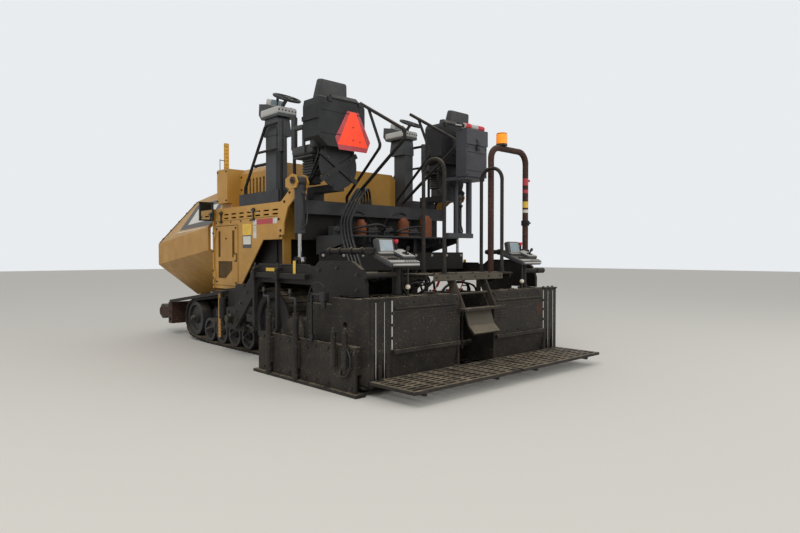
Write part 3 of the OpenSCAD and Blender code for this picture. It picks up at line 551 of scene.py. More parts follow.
# Seams of the folded side body and its bolts
with Twin("panel_seams", MESH_WIRE) as p:
    for a, b in (((2068, 1432), (3444, 1432)), ((2100, 1214), (2100, 1354)), ((2925, 1376), (3440, 1376))):
        p.bar((a[0], 1000.4, a[1]), (b[0], 1000.4, b[1]), 4, 6)
with Twin("panel_bolts", ZINC_BOLT) as p:
    p.bolts([(x, SIDE_FACE, 1412) for x in (2660, 2860, 3080, 3300, 3420)], OUT, 13)
    p.bolts([(3468, 1018, z) for z in (720, 800, 880, 1100, 1300, 1540)], OUT, 15)
    p.bolts([(2084, SIDE_FACE, z) for z in (1240, 1400, 1540)], OUT, 15)
# Rubber pull latches over the vents
with Twin("rubber_latches", KNOB_BLACK) as p:
    for x in (2590, 3296):
        p.block((x - 22, SIDE_FACE, 1496), (x + 22, 1016, 1536), 6)
        p.block((x - 12, 1004, 1420), (x + 12, 1013, 1500), 4)
        p.bar((x - 26, 1010, 1416), (x + 26, 1010, 1416), 20, 12)
        p.bar((x - 34, 1010, 1516), (x + 34, 1010, 1516), 16, 12)
# Hood: brown screens behind the louvres, a panel over the front box's intake, bolts and a black grab bar
with Twin("hood_screen", MESH_WIRE) as p:
    p.wires(((2490, 1654), (3190, 1654), (3190, 1898), (2490, 1898)), 787.5, 17, 3.4)
with Twin("hood_backing", RUST_PAINT) as p:
    p.block((2486, 776, 1648), (3196, 782, 1904))
with Twin("intake_panel", YELLOW_ENAMEL) as p:
    p.block((3276, 940, 1684), (3454, 962, 1956), 3)
with Twin("hood_bolts", ZINC_BOLT) as p:
    p.bolts([(x, 800, z) for x in (2470, 3210) for z in (1640, 1780, 1920)], OUT, 15)
    p.bolts([(x, 960, z) for x in (3262, 3464) for z in (1660, 1980)], OUT, 15)
with Twin("hood_bar", BLACK_ENAMEL) as p:
    p.bar((2740, 700, 2040), (3090, 700, 2040), 34)
    for x in (2750, 3080):
        p.post(x, 700, 2006, 2042, 26, 12)
# Mirror: black moulded frame with its glass towards the rear
with Twin("mirror_frame", KNOB_BLACK) as p:
    for y0, y1, z0, z1 in ((1034, 1050, 1434, 1642), (1180, 1196, 1434, 1642),
                           (1034, 1196, 1434, 1450), (1034, 1196, 1626, 1642)):
        p.block((3414, y0, z0), (3446, y1, z1), 4)
    p.block((3428, 1040, 1440), (3446, 1190, 1636), 4)
    p.block((3444, 1016, 1496), (3478, 1050, 1528), 3)
with Twin("mirror_glass", MIRROR_GLASS) as p:
    p.block((3424, 1048, 1448), (3428, 1182, 1628))
# Scale bar of the tow point: a yellow sleeve with a row of holes
with Twin("scale_bar", YELLOW_ENAMEL) as p:
    p.block((3129.4, 1095.4, 169.4), (3176.6, 1104.6, 660), 1.5)
with Twin("scale_bar_holes", KNOB_BLACK) as p:
    for z in range(200, 619, 38):
        p.bar((3153, 1094.6, z), (3153, 1105.4, z), 14, 10)
# Track wheels: a ring of nuts and a hub cap on each outer face
with Twin("wheel_nuts", GREY_ENAMEL) as p:
    for x, z, r, nuts in WHEELS:
        ring = [2 * math.pi * (k + 0.5) / nuts for k in range(nuts)]
        p.bolts([(x + r * 0.27 * math.cos(a), WHEEL_FACE + 2, z + r * 0.27 * math.sin(a)) for a in ring], OUT,
                max(12, r * 0.06))
        p.bar((x, WHEEL_FACE + 20, z), (x, WHEEL_FACE + 52, z), r * 0.3, 20, 0.7)
# Push frame's bolts and the roller's cap
with Twin("push_bolts", ZINC_BOLT) as p:
    p.bolts([(5340 + 26 * i, 875, 288 + 26 * j) for i in (-1, 1) for j in (-1, 1)], OUT, 14)
    p.bolts([(x, 880, z) for x in (4990, 5050) for z in (300, 390)], OUT, 20)
with Twin("roller_cap", GREY_ENAMEL, "roller") as p:
    for z in (255, 290):
        p.bar((5335, 845, z), (5335, 852, z), 60, 18)
# Lift cylinder: gland, weld rings, ports, the hose clipped along it, and its bracket's pin heads
with Twin("lift_fittings", GREY_ENAMEL, "barrel") as p:
    for z, w in ((1262, 104), (1650, 100), (1672, 98)):
        p.post(1656, LIFT_Y, z - 8, z + 8, w, 28)
    for z in (1300, 1610):
        p.bar((1610, LIFT_Y, z), (1588, LIFT_Y, z), 30, 6)
twin_hose("lift_line", [(1590, LIFT_Y, 1300), (1572, 1052, 1330), (1582, 1036, 1400), (1590, 1032, 1500),
                        (1584, 1042, 1580), (1590, 1060, 1608)], 16, "barrel")
with Twin("bracket_pins", ZINC_BOLT) as p:
    p.bar((1656, 1138, 1720), (1656, 1150, 1720), 64, 20)
    p.bolts([(1656, 1150, 1720)], OUT, 24)
    p.bolts([(x, 1014, z) for x, z in ((2060, 1290), (2090, 1400), (1990, 1560), (1900, 1640))], OUT, 18)

# Station console: pale fascia on the pedestal, display in a hood, rows of switches and a lever
with Twin("station_fascia", GREY_FASCIA) as p:
    p.block((2196, 732, 2440), (2530, 958, 2516), 18)
    p.block((2380, 742, 2500), (2520, 948, 2560), 16)
with Twin("station_display_hood", GREY_FASCIA) as p:
    p.block((2395, 765, 2545), (2475, 925, 2625), 12, -18)
with Twin("station_display", DISPLAY_GLASS) as p:
    p.block((2392, 780, 2556), (2396, 910, 2616), 1.5, -18)
with Twin("station_switches", KNOB_BLACK) as p:
    for y in range(752, 943, 38):
        p.bar((2192, y, 2478), (2198, y, 2478), 16, 12)
    for x in range(2250, 2353, 34):
        p.block((x, 760, 2514), (x + 18, 776, 2530), 3)
    p.bar((2300, 900, 2512), (2290, 900, 2590), 14, 10)
    p.bar((2292, 900, 2580), (2286, 900, 2622), 30, 14, 0.8)
# Steering wheel: a padded rim over the solid's own, and a hub
for side, m in SIDES.items():
    y = STATION_Y * m
    rim = [2 * math.pi * k / 24 for k in range(25)]
    rim = [(2200 + 128 * math.cos(a), y + 128 * math.sin(a), 2600) for a in rim]
    with Piece(f"wheel_grip_{side}", KNOB_BLACK) as p:
        for a, b in zip(rim, rim[1:]):
            p.bar(a, b, 27, 12)
        p.post(2200, y, 2590, 2612, 66, 20)
        p.tilt(-25, (2200, y, 2600))
# Foam sleeves on the side posts, with their ties
with Twin("foam_sleeves", SEAT_VINYL) as p:
    for x, y in ((2110, 972), (1970, 915)):
        p.post(x, y, 2052, 2358, 60, 20)
        for z in (2070, 2205, 2340):
            p.post(x, y, z - 4, z + 4, 62.5, 20)
# Pod: screws and ribs of its moulded shell, and the caps on its rim, each with its rear face sloped back
for side, m in SIDES.items():
    with Piece(f"pod_screws_{side}", ZINC_BOLT) as p:
        p.bolts([(1400, m * y, z) for y in (580, 980) for z in (2090, 2390)], BACK, 12)
        ring = [(1470, m * 760 + 150 * math.cos(a), 1850 + 150 * math.sin(a)) for a in (0.56, 2.58, 3.7, 5.72)]
        p.bolts(ring, BACK, 16)
with Twin("pod_ribs", POD_PLASTIC) as p:
    for z in (2130, 2330):
        p.block((1396, 556, z - 5), (1402, 1010, z + 5), 2)
    for y in (528, 1032):
        p.block((1420, y - 4, 2120), (1620, y + 4, 2130), 2)
# The caps take the paler pedestal plastic rather than the pod's own: in part a painted highlight on the sky-lit rim
with Twin("pod_caps", MOULDED_PLASTIC) as p:
    for low, high, slope in (((1394, 578, 2438), (1490, 892, 2492), 46),
                             ((1400, 906, 2438), (1480, 1020, 2456), 30)):
        a, b = at(*low), at(*high)
        for v in p.block(low, high):
            if v.co.z > a.z + 0.01:
                v.co.x += slope / 1000 if v.co.x < a.x + 0.01 else 0
                v.co.y += 0.012 if v.co.y < (a.y + b.y) / 2 else -0.012
# Loom: cables that hang from the pod to the deck
for k, (dy, dx, width) in enumerate(((0, 0, 18), (26, 14, 14), (48, -8, 12), (70, 10, 16)), 1):
    twin_hose(f"pod_cable_{k}", [
        (1520 + dx, 880 + dy, 2018), (1520 + dx, 884 + dy, 1960), (1560 + dx, 900 + dy, 1860),
        (1660 + dx, 910 + dy * 0.5, 1760), (1790 + dx, 900 + dy * 0.4, 1690), (1850 + dx, 890 + dy * 0.5, 1630),
        (1860 + dx, 885 + dy * 0.5, 1570)], width)
# Guard rail's foot plates and its upper clamp
with Twin("rail_feet", BLACK_ENAMEL) as p:
    for x in (1800, 1900):
        p.block((x - 34, 306, 1568), (x + 34, 374, 1578), 3)
        p.bolts([(x + i * 24, 340 + j * 24, 1578) for i in (-1, 1) for j in (-1, 1)], UP, 10)
    p.post(1058, 340, 2168, 2182, 40, 14)

with Piece("triangle_screws", KNOB_BLACK) as p:
    for z in (2100, 2215):
        p.bar((1392, 660, z), (1396.5, 660, z), 13, 12)

# Four hoses side by side that run from the deck down to the screed
SUPPLY = ((1800, 170, 1569), (1797, 176, 1640), (1745, 240, 1706), (1660, 350, 1690), (1560, 520, 1555),
          (1450, 700, 1377), (1330, 790, 1245), (1230, 830, 1120), (1150, 842, 990), (1095, 842, 860),
          (1078, 842, 740), (1076, 842, 657))
APART = [(0.68 * off, 0.73 * off) for off in (-43.5, -14.5, 14.5, 43.5)]
for k, (dx, dy) in enumerate(APART, 1):
    hose(f"screed_supply_{k}", [(x + dx, y + dy, z) for x, y, z in SUPPLY], 24,
         crosses=("screed", at(1720, 280, 1700), at(1110, 842, 900)))
for name, body, x, y, low, high in (("supply_fittings_deck", "tractor", 1800, 170, 1568, 1600),
                                    ("supply_fittings_screed", "screed", 1076, 842, 656, 690)):
    with Piece(name, ZINC_BOLT, body) as p:
        for dx, dy in APART:
            p.post(x + dx, y + dy, low, high, 36, 6)

# Hydraulics behind the rear platform: orange pumps, manifolds with fittings and the hoses between them
PLATFORM = 1241
with Piece("platform_pumps", PUMP_ORANGE) as p:
    for x, y, width, tall in ((1700, -258, 120, 170), (1730, -620, 130, 210), (1690, 330, 110, 130)):
        top = PLATFORM + tall
        p.post(x, y, PLATFORM, top, width, 28)
        p.post(x, y, top, top + 34, width * 0.8, 28, 0.7)
        for h in (0.25, 0.5, 0.75):
            z = PLATFORM + tall * h
            p.post(x, y, z - 5, z + 5, width * 1.08, 28)
with Piece("valve_manifolds", GREY_ENAMEL) as p:
    for y in (-480, -120, 90, 520):
        p.block((1700, y, PLATFORM), (1800, y + 130, 1330), 8)
        for k in range(3):
            p.post(1720 + 30 * k, y + 30, 1328, 1352, 26, 6)
            p.bar((1702, y + 26 + 38 * k, 1290), (1680, y + 26 + 38 * k, 1290), 24, 6)
    for y in (-336, 0, 336):
        p.bar((1652, y, 980), (1640, y, 980), 60, 12)
        for a in range(6):
            dy, z = 36 * math.cos(a * 1.047), 980 + 36 * math.sin(a * 1.047)
            p.bar((1656, y + dy, z), (1644, y + dy, z), 14, 6)
hoses("platform_hose", (
    ((1680, -454, 1290), (1600, -454, 1300), (1540, -400, 1330), (1520, -300, 1350), (1560, -180, 1330),
     (1640, -94, 1295), (1680, -94, 1290), 20),
    ((1680, -416, 1290), (1580, -416, 1290), (1480, -340, 1285), (1460, -200, 1280), (1500, -60, 1282),
     (1600, -56, 1290), (1680, -56, 1290), 18),
    ((1680, 116, 1290), (1590, 116, 1300), (1500, 180, 1330), (1470, 300, 1350), (1500, 430, 1330),
     (1600, 546, 1300), (1680, 546, 1290), 22),
    ((1680, 154, 1290), (1600, 160, 1288), (1540, 220, 1282), (1530, 330, 1276), (1560, 440, 1280),
     (1620, 580, 1288), (1680, 584, 1290), 18),
    ((1822, -460, 1242), (1820, -460, 1330), (1790, -430, 1430), (1750, -270, 1500), (1780, -110, 1440),
     (1818, -70, 1330), (1820, -70, 1242), 18),
    ((1822, 70, 1242), (1820, 74, 1330), (1780, 180, 1440), (1750, 330, 1490), (1780, 460, 1440),
     (1818, 490, 1330), (1820, 490, 1242), 20),
))
# Apron across the rear under the lower deck: a flanged plate on four straps, with its bolts
with Piece("rear_apron", BLACK_ENAMEL) as p:
    p.block((1490, -968, 905), (1500, 968, 1085), 2)
    p.block((1490, -968, 1079), (1522, 968, 1085), 2)
    for y in (-700, -236, 236, 700):
        p.block((1500, y - 22, 1060), (1508, y + 22, 1228), 1)
with Piece("apron_bolts", GREY_FASCIA, slot="bare_steel") as p:
    p.bolts([(1490, y, 1052) for y in (-930, -700, -470, -236, 0, 236, 470, 700, 930)], BACK, 19)
# Hoses that hang behind the conveyor's drives
hoses("drive_hose", (
    ((1640, -336, 1010), (1570, -330, 1000), (1520, -300, 930), (1520, -240, 860), (1560, -190, 820),
     (1650, -170, 826), (1740, -160, 860), (1799, -160, 874), 22),
    ((1640, 0, 1010), (1570, 10, 1000), (1520, 50, 930), (1525, 110, 860), (1570, 150, 815),
     (1660, 170, 822), (1745, 176, 858), (1799, 176, 874), 22),
    ((1640, 336, 1010), (1575, 330, 1000), (1525, 300, 920), (1520, 260, 850), (1560, 240, 800),
     (1650, 250, 812), (1745, 260, 856), (1799, 260, 874), 20),
    ((1640, 336, 950), (1580, 350, 930), (1530, 400, 870), (1530, 470, 800), (1580, 520, 750),
     (1680, 530, 730), (1790, 520, 720), 20),
    ((1640, -336, 950), (1580, -350, 930), (1530, -400, 870), (1530, -470, 800), (1580, -520, 750),
     (1680, -530, 730), (1790, -520, 720), 20),
))

# Locker: padlock and clasp, seams, and the extinguisher with its strap above it
with Piece("locker_padlock", KNOB_BLACK, "lid") as p:
    p.block((1133, -815, 2196), (1142, -775, 2226), 2)
    for a, b in (((-808, 2186), (-808, 2204)), ((-782, 2186), (-782, 2204)), ((-811, 2204), (-779, 2204))):
        p.bar((1128, *a), (1128, *b), 7, 10)
    p.block((1119, -819, 2146), (1137, -771, 2188), 5)
with Piece("locker_seams", GREY_ENAMEL) as p:
    for z in (1930, 2120):
        p.block((1146, -940, z), (1150.5, -640, z + 6), 1)
    p.bolts([(1150, y, z) for y in (-935, -645) for z in (1890, 2170)], BACK, 12)
with Piece("extinguisher_body", GREY_FASCIA, "lid") as p:
    p.bar((1212, -950, 2396), (1212, -650, 2396), 60, 24)
    p.bar((1212, -650, 2396), (1196, -520, 2384), 15, 12)
with Piece("extinguisher_bands", KNOB_RED, "lid") as p:
    for a, b in ((-958, -860), (-745, -665)):
        p.bar((1212, a, 2396), (1212, b, 2396), 64, 24)
with Piece("extinguisher_bracket", KNOB_BLACK, "lid") as p:
    p.bar((1212, -652, 2396), (1212, -620, 2396), 34)
    p.block((1200, -636, 2400), (1226, -560, 2424), 4)
    for y in (-930, -700):
        p.block((1180, y - 10, 2359), (1244, y + 10, 2378), 3)

# Screed consoles: each tray replaces its solid and carries a fascia, a display and controls, on a post and an arm
for side, m in SIDES.items():
    body, y = f"extension_{side}", STATION_Y * m
    tray_pivot, case_pivot = (620, y, 1040), (660, y, 1050)
    with Piece(f"console_tray_{side}", MOULDED_PLASTIC, body) as p:
        p.block((482, y - 160, 1000), (758, y + 160, 1044), 14)
        p.block((540, y - 150, 1040), (720, y - 8, 1072), 12)
        p.block((640, y - 12, 1040), (752, y + 152, 1062), 8)
        p.tilt(-20, tray_pivot)
    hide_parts(f"screed_console_{side}")
    with Piece(f"console_fascia_{side}", GREY_FASCIA, body) as p:
        p.block((490, y - 152, 1043), (534, y + 152, 1047), 1.5)
        p.block((546, y - 144, 1071), (714, y - 14, 1075), 1.5)
        p.block((646, y - 4, 1061), (746, y + 146, 1065), 1.5)
        p.bar((472, y - 130, 1030), (472, y + 130, 1030), 18, 12)
        for end in (y - 130, y + 130):
            p.bar((486, end, 1026), (470, end, 1030), 18, 10)
        p.tilt(-20, tray_pivot)
    for name, finish, low, high, edge in (
            ("console_display_case", MOULDED_PLASTIC, (650, y - 40, 1050), (704, y + 150, 1192), 14),
            ("console_bezel", GREY_FASCIA, (647.5, y - 14, 1082), (651, y + 124, 1178), 2),
            ("console_screen", DISPLAY_GLASS, (646, y - 4, 1090), (648.5, y + 114, 1170), 1)):
        with Piece(f"{name}_{side}", finish, body) as p:
            p.block(low, high, edge)
            p.tilt(12, case_pivot)
    with Piece(f"console_controls_{side}", KNOB_BLACK, body) as p:
        lever, stop = y - 82, y - 62
        p.post(600, lever, 1066, 1082, 58, 20)
        p.bar((600, lever, 1080), (590, lever, 1122), 16, 12)
        p.bar((590, lever, 1112), (588, lever, 1138), 30, 16, 0.8)
        for k in range(5):
            p.post(540 + 4 * k, y + 20 + 26 * k, 1040, 1056, 14, 10)
            p.post(500, y - 120 + 30 * k, 1040, 1052, 12, 10)
        for k in range(3):
            p.block((560, y + 30 + 34 * k, 1042), (582, y + 50 + 34 * k, 1050), 2)
        p.tilt(-20, tray_pivot)
    with Piece(f"console_stop_knob_{side}", KNOB_RED, body) as p:
        p.post(680, stop, 1150, 1166, 26)
        p.post(680, stop, 1164, 1182, 40, 20, 0.85)
    with Piece(f"console_post_{side}", BLACK_ENAMEL, body) as p:
        p.post(680, stop, 1080, 1152, 18, 12)
        p.block((550, y - 50, 720), (632, y + 50, 734), 3)
        p.bolts([(x, y + d, 734) for x in (560, 634) for d in (-38, 38)], UP, 14)
        p.post(600, y, 732, 1000, 56, 24)
        for z in (760, 980):
            p.post(600, y, z - 10, z + 10, 70, 24)
        p.bar((600, y, 900), (600, m * 1180, 900), 44, 20)
        p.bar((600, m * 1060, 900), (600, m * 1184, 900), 56, 20)
        p.bar((720, m * 1060, 1088), (1240, m * 1060, 1088), 46, 20)
        p.block((690, m * 1000, 1062), (730, m * 1082, 1112), 6)
        for x in (770, 905, 1060, 1200):
            p.bar((x - 14, m * 1060, 1088), (x + 14, m * 1060, 1088), 62, 20)
    hose(f"console_cable_{side}", [(640, y - 90, 1000), (646, y - 96, 960), (680, y - 120, 880), (700, y - 150, 800),
                                   (690, y - 180, 750), (670, y - 200, 722)], 13, body)
# Crank rod with its pale ball beside the console
with Twin("crank_rod", ZINC_BOLT, "extension") as p:
    p.post(560, 770, 722, 960, 13, 12)
    p.post(560, 770, 722, 740, 30, 6)
with Twin("crank_ball", KNOB_PALE, "extension", smooth=True) as p:
    ball = Matrix.Translation(at(560, 770, 800))
    bmesh.ops.create_icosphere(p.form, subdivisions=3, radius=0.021, matrix=ball)
# Extension's rear panel: lid with hinges and grab slot, bolts, seams and wear strips
with Twin("panel_lid", SCREED_ENAMEL, "extension") as p:
    p.block((496, 300, 720), (622, 740, 729), 3)
    p.block((496, 760, 720), (540, 1010, 730), 3)
    for middle in (350, 520, 690):
        p.bar((622, middle - 30, 727), (622, middle + 30, 727), 16, 12)
    p.block((500, 480, 730), (516, 600, 736), 2)
with Twin("panel_bolts_rear", ZINC_BOLT, "extension") as p:
    p.bolts([(480, d, z) for d in (260, 430, 600, 770, 940) for z in (355, 690)], BACK, 15)
    p.bolts([(480, 1010, z) for z in (420, 520, 610)], BACK, 18)
    p.bolts([(500, d, 732) for d in (1048, 1128, 1204)], UP, 20)
with Twin("panel_seams_rear", ZINC_BOLT, "extension") as p:
    for low, high in (((478, 250, 618), (480.6, 1000, 622)), ((478, 640, 340), (480.6, 644, 620)),
                      ((477, 560, 560), (480.6, 700, 566))):
        p.block(low, high)
with Twin("wear_strips", HARD_CHROME, "extension") as p:
    p.block((477, 1008, 330), (481, 1022, 706), 1)
    p.post(478, 1180, 90, 700, 9, 10)
    p.post(478, 1094, 90, 700, 7, 10)
with Piece("blank_plate_right", RUST_PAINT, "extension_right") as p:
    p.block((478.8, -1000, 470), (481, -905, 585), 0.4)

# Screed: bolts along the plates, lifting eyes, hoses along the top, and valves with red handles over the centre gap
with Piece("screed_bolts", ZINC_BOLT, "screed") as p:
    p.bolts([(1312, y, z) for y in range(-1100, 1101, 220) for z in (120, 520)], (1, 0, 0), 18)
    p.bolts([(x, y, 656) for x in (990, 1290) for y in range(-1100, 1101, 275)], UP, 18)
    for y in (-500, 500):
        p.post(1140, y, 655, 685, 60, 6, 52 / 60)
hoses("screed_hose", (
    ((1000, -90, 657), (1000, -92, 700), (960, -140, 770), (900, -220, 800), (880, -320, 780), (910, -400, 720),
     (960, -430, 690), (990, -440, 657), 22),
    ((1040, -40, 657), (1040, -40, 720), (1000, 10, 800), (930, 80, 820), (900, 160, 790), (920, 240, 730),
     (980, 270, 690), (1010, 274, 657), 22),
    ((1100, 60, 657), (1100, 62, 700), (1060, 130, 770), (1010, 240, 800), (1000, 380, 770), (1030, 480, 710),
     (1060, 500, 657), 20),
    ((1100, -200, 657), (1098, -204, 700), (1040, -260, 770), (960, -340, 790), (940, -480, 760), (980, -580, 700),
     (1010, -590, 657), 20),
    ((1180, -60, 657), (1176, -56, 710), (1130, 0, 780), (1110, 110, 800), (1130, 230, 770), (1170, 290, 710),
     (1180, 300, 657), 18),
    ((880, 96, 560), (850, 120, 500), (800, 140, 400), (770, 120, 320), (780, 40, 270), (810, -40, 300),
     (850, -90, 400), (880, -96, 480), 20),
), "screed")
with Piece("valve_handles", KNOB_RED, "screed") as p:
    for y, z in ((40, 770), (-150, 760), (-330, 800)):
        p.bar((980, y, 700), (940, y - 10, z), 10, 10)
        p.bar((942, y - 9, z - 8), (918, y - 16, z + 46), 24, 14, 0.85)
with Piece("screed_valves", GREY_ENAMEL, "screed") as p:
    for y in (-330, -150, 40):
        p.block((950, y - 60, 656), (1080, y + 60, 712), 8)
        for x in (980, 1016, 1052):
            p.post(x, y - 36, 710, 728, 22, 6)

# Step: clamps on the hoops' feet and bolts
with Piece("step_clamps", BLACK_ENAMEL, "screed") as p:
    for x, y in ((610, -515), (860, -515), (610, 290), (860, 290)):
        p.post(x, y, 894, 934, 46, 18)
        p.block((x - 34, y - 30, 893), (x + 34, y + 30, 901), 3)
    p.bolts([(x, y, 894) for x in (586, 870) for y in (-600, -300, -60, 160, 440)], UP, 14)

# Station and side of the beacon and of the mast
BEACON, MAST = (810, -770), (810, -1174.5)
with Piece("beacon_foot", KNOB_BLACK, "screed") as p:
    p.bar((*BEACON, 2148), (*BEACON, 2166), 112, 32)
    p.block((790, -810, 2120), (830, -730, 2152), 5)
with Piece("beacon_lens", AMBER_LENS, "screed") as p:
    p.bar((*BEACON, 2165), (*BEACON, 2262), 108, 40, 0.97)
    p.bar((*BEACON, 2262), (*BEACON, 2276), 105, 40, 0.82)
    for z in range(2176, 2249, 18):
        p.bar((*BEACON, z), (*BEACON, z + 6), 111, 40)
# Tapes on the mast, blank, and its clamps
for name, finish, spans in (("mast_tape_red", TAPE_RED, ((1781, 1855), (1703, 1737))),
                            ("mast_tape_yellow", LABEL_YELLOW, ((1550, 1614),)),
                            ("mast_tape_white", LABEL_WHITE, ((1497, 1530),))):
    with Piece(name, finish, "screed") as p:
        for low, high in spans:
            p.bar((*MAST, low), (*MAST, high), 61.4, 24)
        if finish is TAPE_RED:
            p.block((780, -1196, 1822), (806, -1216, 1842), 1)
with Piece("mast_clamps", BLACK_ENAMEL, "screed") as p:
    for z in (1390, 1010):
        p.bar((*MAST, z - 26), (*MAST, z + 26), 84, 20)
        p.bolts([(770, MAST[1] + d, z) for d in (-24, 24)], BACK, 14)

# Distances from the middle: a tow arm's outer face, an end gate's face and its jacks
ARM_FACE, GATE_FACE, JACK = 1144, 1310, 1338
# Tow arm: pins, plate bolts, a blank yellow patch and the cable along it
with Twin("tow_arm_bolts", ZINC_BOLT, "screed") as p:
    p.bolts([(x, ARM_FACE, z) for x, z in (
        (2600, 570), (2480, 690), (2700, 480), (2680, 400), (1250, 930), (1000, 950), (740, 900), (740, 780),
        (1180, 700), (1020, 700))], OUT, 24)
    p.bar((2824, 1180, 400), (2824, 1192, 400), 78, 24)
with Twin("tow_arm_patch", LABEL_YELLOW, "screed") as p:
    p.block((1960, ARM_FACE, 905), (2110, 1145.2, 936))
    p.block((1990, ARM_FACE, 850), (2060, 1145.2, 868))
with Twin("hanger_parts", ZINC_BOLT, "screed") as p:
    for x in (1850, 2262):
        for z in (360, 900):
            p.bar((x, 1198, z), (x, 1210, z), 30, 6)
        p.block((x - 24, 1150, 922), (x + 24, 1196, 944), 4)
        p.post(x, 1173, 940, 985, 22, 12)
twin_hose("arm_line", [(1400, 1128, 966)] + [(x, 1128, 967) for x in (1600, 1850, 2100, 2260)], 14, "screed")
# Yellow tag that hangs on the lift rod's lug
with Twin("lug_tag", LABEL_YELLOW, "screed") as p:
    p.block((1600, 1146, 880), (1640, 1149, 1004), 0.5)
# Auger's outer end cap
with Twin("auger_cap", ZINC_BOLT, "auger") as p:
    p.bar((1648, 1184, 336), (1648, 1192, 336), 66, 24)
    p.bolts([(1648 + 22 * math.cos(a), 1192, 336 + 22 * math.sin(a)) for a in (0.5, 2.6, 4.7)], OUT, 12)
# End gate: jack screws with cranks and ball grips, springs, bolts, a joint sensor on its pole and its cable
with Twin("gate_jacks", GREY_ENAMEL, "gate") as p:
    for x in (1312, 1736):
        p.post(x, JACK, 638, 700, 24, 14)
        p.bar((x, JACK, 694), (x + 90, JACK, 694), 16, 10)
        p.post(x + 84, JACK, 690, 740, 12, 10)
        for z in (60, 300, 540):
            p.post(x, 1336, z - 9, z + 9, 55, 20)
    for x in (660, 800):
        for z in range(215, 330, 14):
            p.post(x, 1330, z, z + 7, 50, 18)
        p.post(x, 1330, 468, 500, 26, 6)
with Twin("gate_bolts", ZINC_BOLT, "gate") as p:
    p.bolts([(x, GATE_FACE, z) for x in (600, 900, 1060, 1200, 1450, 1600, 1860) for z in (60, 330)], OUT, 18)
    for x in (1396, 1820):
        p.post(x, JACK, 736, 772, 30, 16, 0.8)
with Twin("joint_sensor", KNOB_BLACK, "gate") as p:
    p.block((1080, 1312, 380), (1130, 1332, 420), 4)
    p.post(1105, 1322, 366, 760, 26, 14)
    p.bar((1105, 1322, 742), (960, 1322, 742), 24, 14)
    p.block((900, 1296, 690), (970, 1348, 770), 10)
    p.post(935, 1322, 640, 692, 34, 18, 1.2)
twin_hose("sensor_cable", [(1150, 1312, 300), (1152, 1334, 320), (1150, 1342, 440), (1136, 1342, 600),
                           (1120, 1342, 720), (1060, 1340, 820), (985, 1330, 840), (937, 1324, 810),
                           (935, 1322, 770)], 9, "gate")
# Supply hose of the gate's lift
twin_hose("gate_hose", [(640, 1312, 350), (640, 1325, 350), (600, 1330, 300), (596, 1330, 220), (640, 1330, 150),
                        (720, 1326, 140), (730, 1312, 180)], 16, "gate")

# Sight bar: yellow faces over the drilled strip, its ruled marks, and a thin feeler beside it
with Piece("sight_bar_faces", SIGHT_YELLOW) as p:
    for x in (3418, 3434.5):
        p.block((x, 843, 2016), (x + 5.5, 897, 2318), 1)
with Piece("sight_marks", KNOB_BLACK) as p:
    for z in range(2040, 2300, 40):
        p.bar((3416.5, 870, z), (3419, 870, z), 12, 10)
        p.block((3416.8, 884, z - 1.5), (3418.2, 896, z + 1.5))
    p.post(3428, 950, 1996, 2132, 8, 8)
    p.bar((3428, 950, 2122), (3428, 890, 2122), 8, 8)


def wing_point(x, u, out):
    """A place over a wing's upper panel: distance along the hinge, share of its height, distance off its face."""
    c, t = math.cos(math.radians(7)), math.sin(math.radians(7))
    y, z = 1040 - 536 * u + 0.7357 * out, 690 + 582 * u + 0.6776 * out
    return Vector((4992 + x * c + z * t, y, 504 - x * t + z * c))


# Wings: a dark blank film, a pale field on it, a thin pale line under it, and a bolted strip on the front edge.
# A row is name, finish, distance off the panel, thickness, and corners along the hinge and up the panel's height.
SHEETS = (
    ("wing_film", FILM_GREY, 0.2, 0.6, ((-534, 0.19), (-336, 0.84), (-1290, 0.70), (-1560, 0.03))),
    ("wing_field", LABEL_WHITE, 0.9, 0.5, ((-690, 0.27), (-528, 0.69), (-1200, 0.60), (-1386, 0.19))),
    ("wing_line", LABEL_WHITE, 0.2, 0.6, ((-528, 0.13), (-526, 0.15), (-1470, 0.012), (-1470, 0.0))),
    ("wing_strip", BLACK_ENAMEL, 0.2, 5, ((-92, 0.02), (-161, 0.98), (-197, 0.98), (-128, 0.02))),
)
for name, finish, lift, thick, corners in SHEETS:
    with Twin(name, finish, "wing") as p:
        p.prism([wing_point(x, u, lift) for x, u in corners], wing_point(0, 0, thick) - wing_point(0, 0, 0))
with Twin("wing_bolts", ZINC_BOLT, "wing") as p:
    for u in (0.1, 0.3, 0.5, 0.7, 0.9):
        p.bar(wing_point(-109 - 71 * u, u, 4), wing_point(-109 - 71 * u, u, 13), 22, 6)

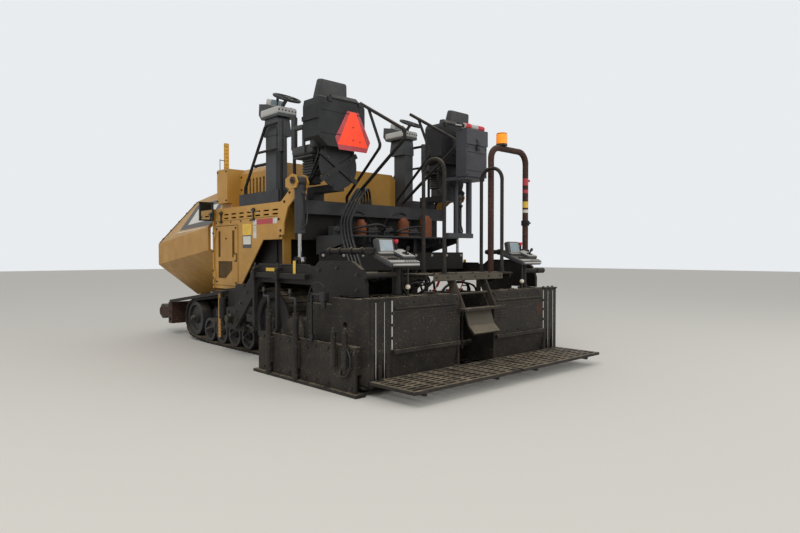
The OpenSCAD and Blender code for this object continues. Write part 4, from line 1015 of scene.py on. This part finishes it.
# Screed platform: a bolted, folded beam along its rear edge, dusty cheeks on the step's sides, a skin on its deflector
with Piece("platform_beam", DUSTY_PLATE, "screed") as p:
    p.block((556, -458, 834), (562, 478, 895), 2)
    p.block((556, -458, 889), (580, 478, 895), 2)
    p.block((556, -458, 834), (576, 478, 840), 2)
with Piece("platform_beam_bolts", ZINC_BOLT, "screed") as p:
    p.bolts([(556, y, 866) for y in (-420, -250, -60, 130, 300, 440)], BACK, 13)
with Piece("step_cheeks", DUSTY_PLATE, "screed") as p:
    for y in (-216, 212):
        p.prism([(x, y, z) for x, z in ((574, 878), (668, 878), (530, 582), (426, 582))], (0, 4, 0))
    p.prism([(x, -162, z) for x, z in ((479, 602), (425, 450), (360, 389), (356, 391), (421, 453), (475, 602))],
            (0, 344, 0))

# Floor and backdrop
floor_form = bmesh.new()
bmesh.ops.create_grid(floor_form, x_segments=1, y_segments=1, size=40)
floor_mesh = bpy.data.meshes.new("floor")
floor_form.to_mesh(floor_mesh)
floor_form.free()
floor = placed("floor", floor_mesh)
floor.location = (0, 0, -0.0005)
floor_finish, tree, surface, coords = shader("pale_floor")
surface.inputs["Base Color"].default_value = rgba("#CFCBC2")
surface.inputs["Roughness"].default_value = 0.9
floor_mesh.materials.append(floor_finish)

world = bpy.data.worlds.new("studio")
bpy.context.scene.world = world
world.use_nodes = True
tree = world.node_tree
tree.nodes.clear()
soft = add(tree, "ShaderNodeBackground", {"Color": rgba("#F2F4F6"), "Strength": 0.75})
pale = add(tree, "ShaderNodeBackground", {"Color": rgba("#E9ECEF"), "Strength": 1.0})
path = add(tree, "ShaderNodeLightPath")
both = add(tree, "ShaderNodeMixShader",
           links={0: path.outputs["Is Camera Ray"], 1: soft.outputs[0], 2: pale.outputs[0]})
add(tree, "ShaderNodeOutputWorld", links={0: both.outputs[0]})
for name, spot, power in (("key", (-5, 7, 9), 420), ("fill", (-9, -4, 5), 160)):
    lamp = placed(name, bpy.data.lights.new(name, "AREA"))
    lamp.data.energy = power
    lamp.data.size = 5
    lamp.location = spot
    lamp.rotation_euler = (Vector((0, 0, 1)) - Vector(spot)).to_track_quat("-Z", "Y").to_euler()
bpy.context.scene.view_settings.view_transform = "Standard"
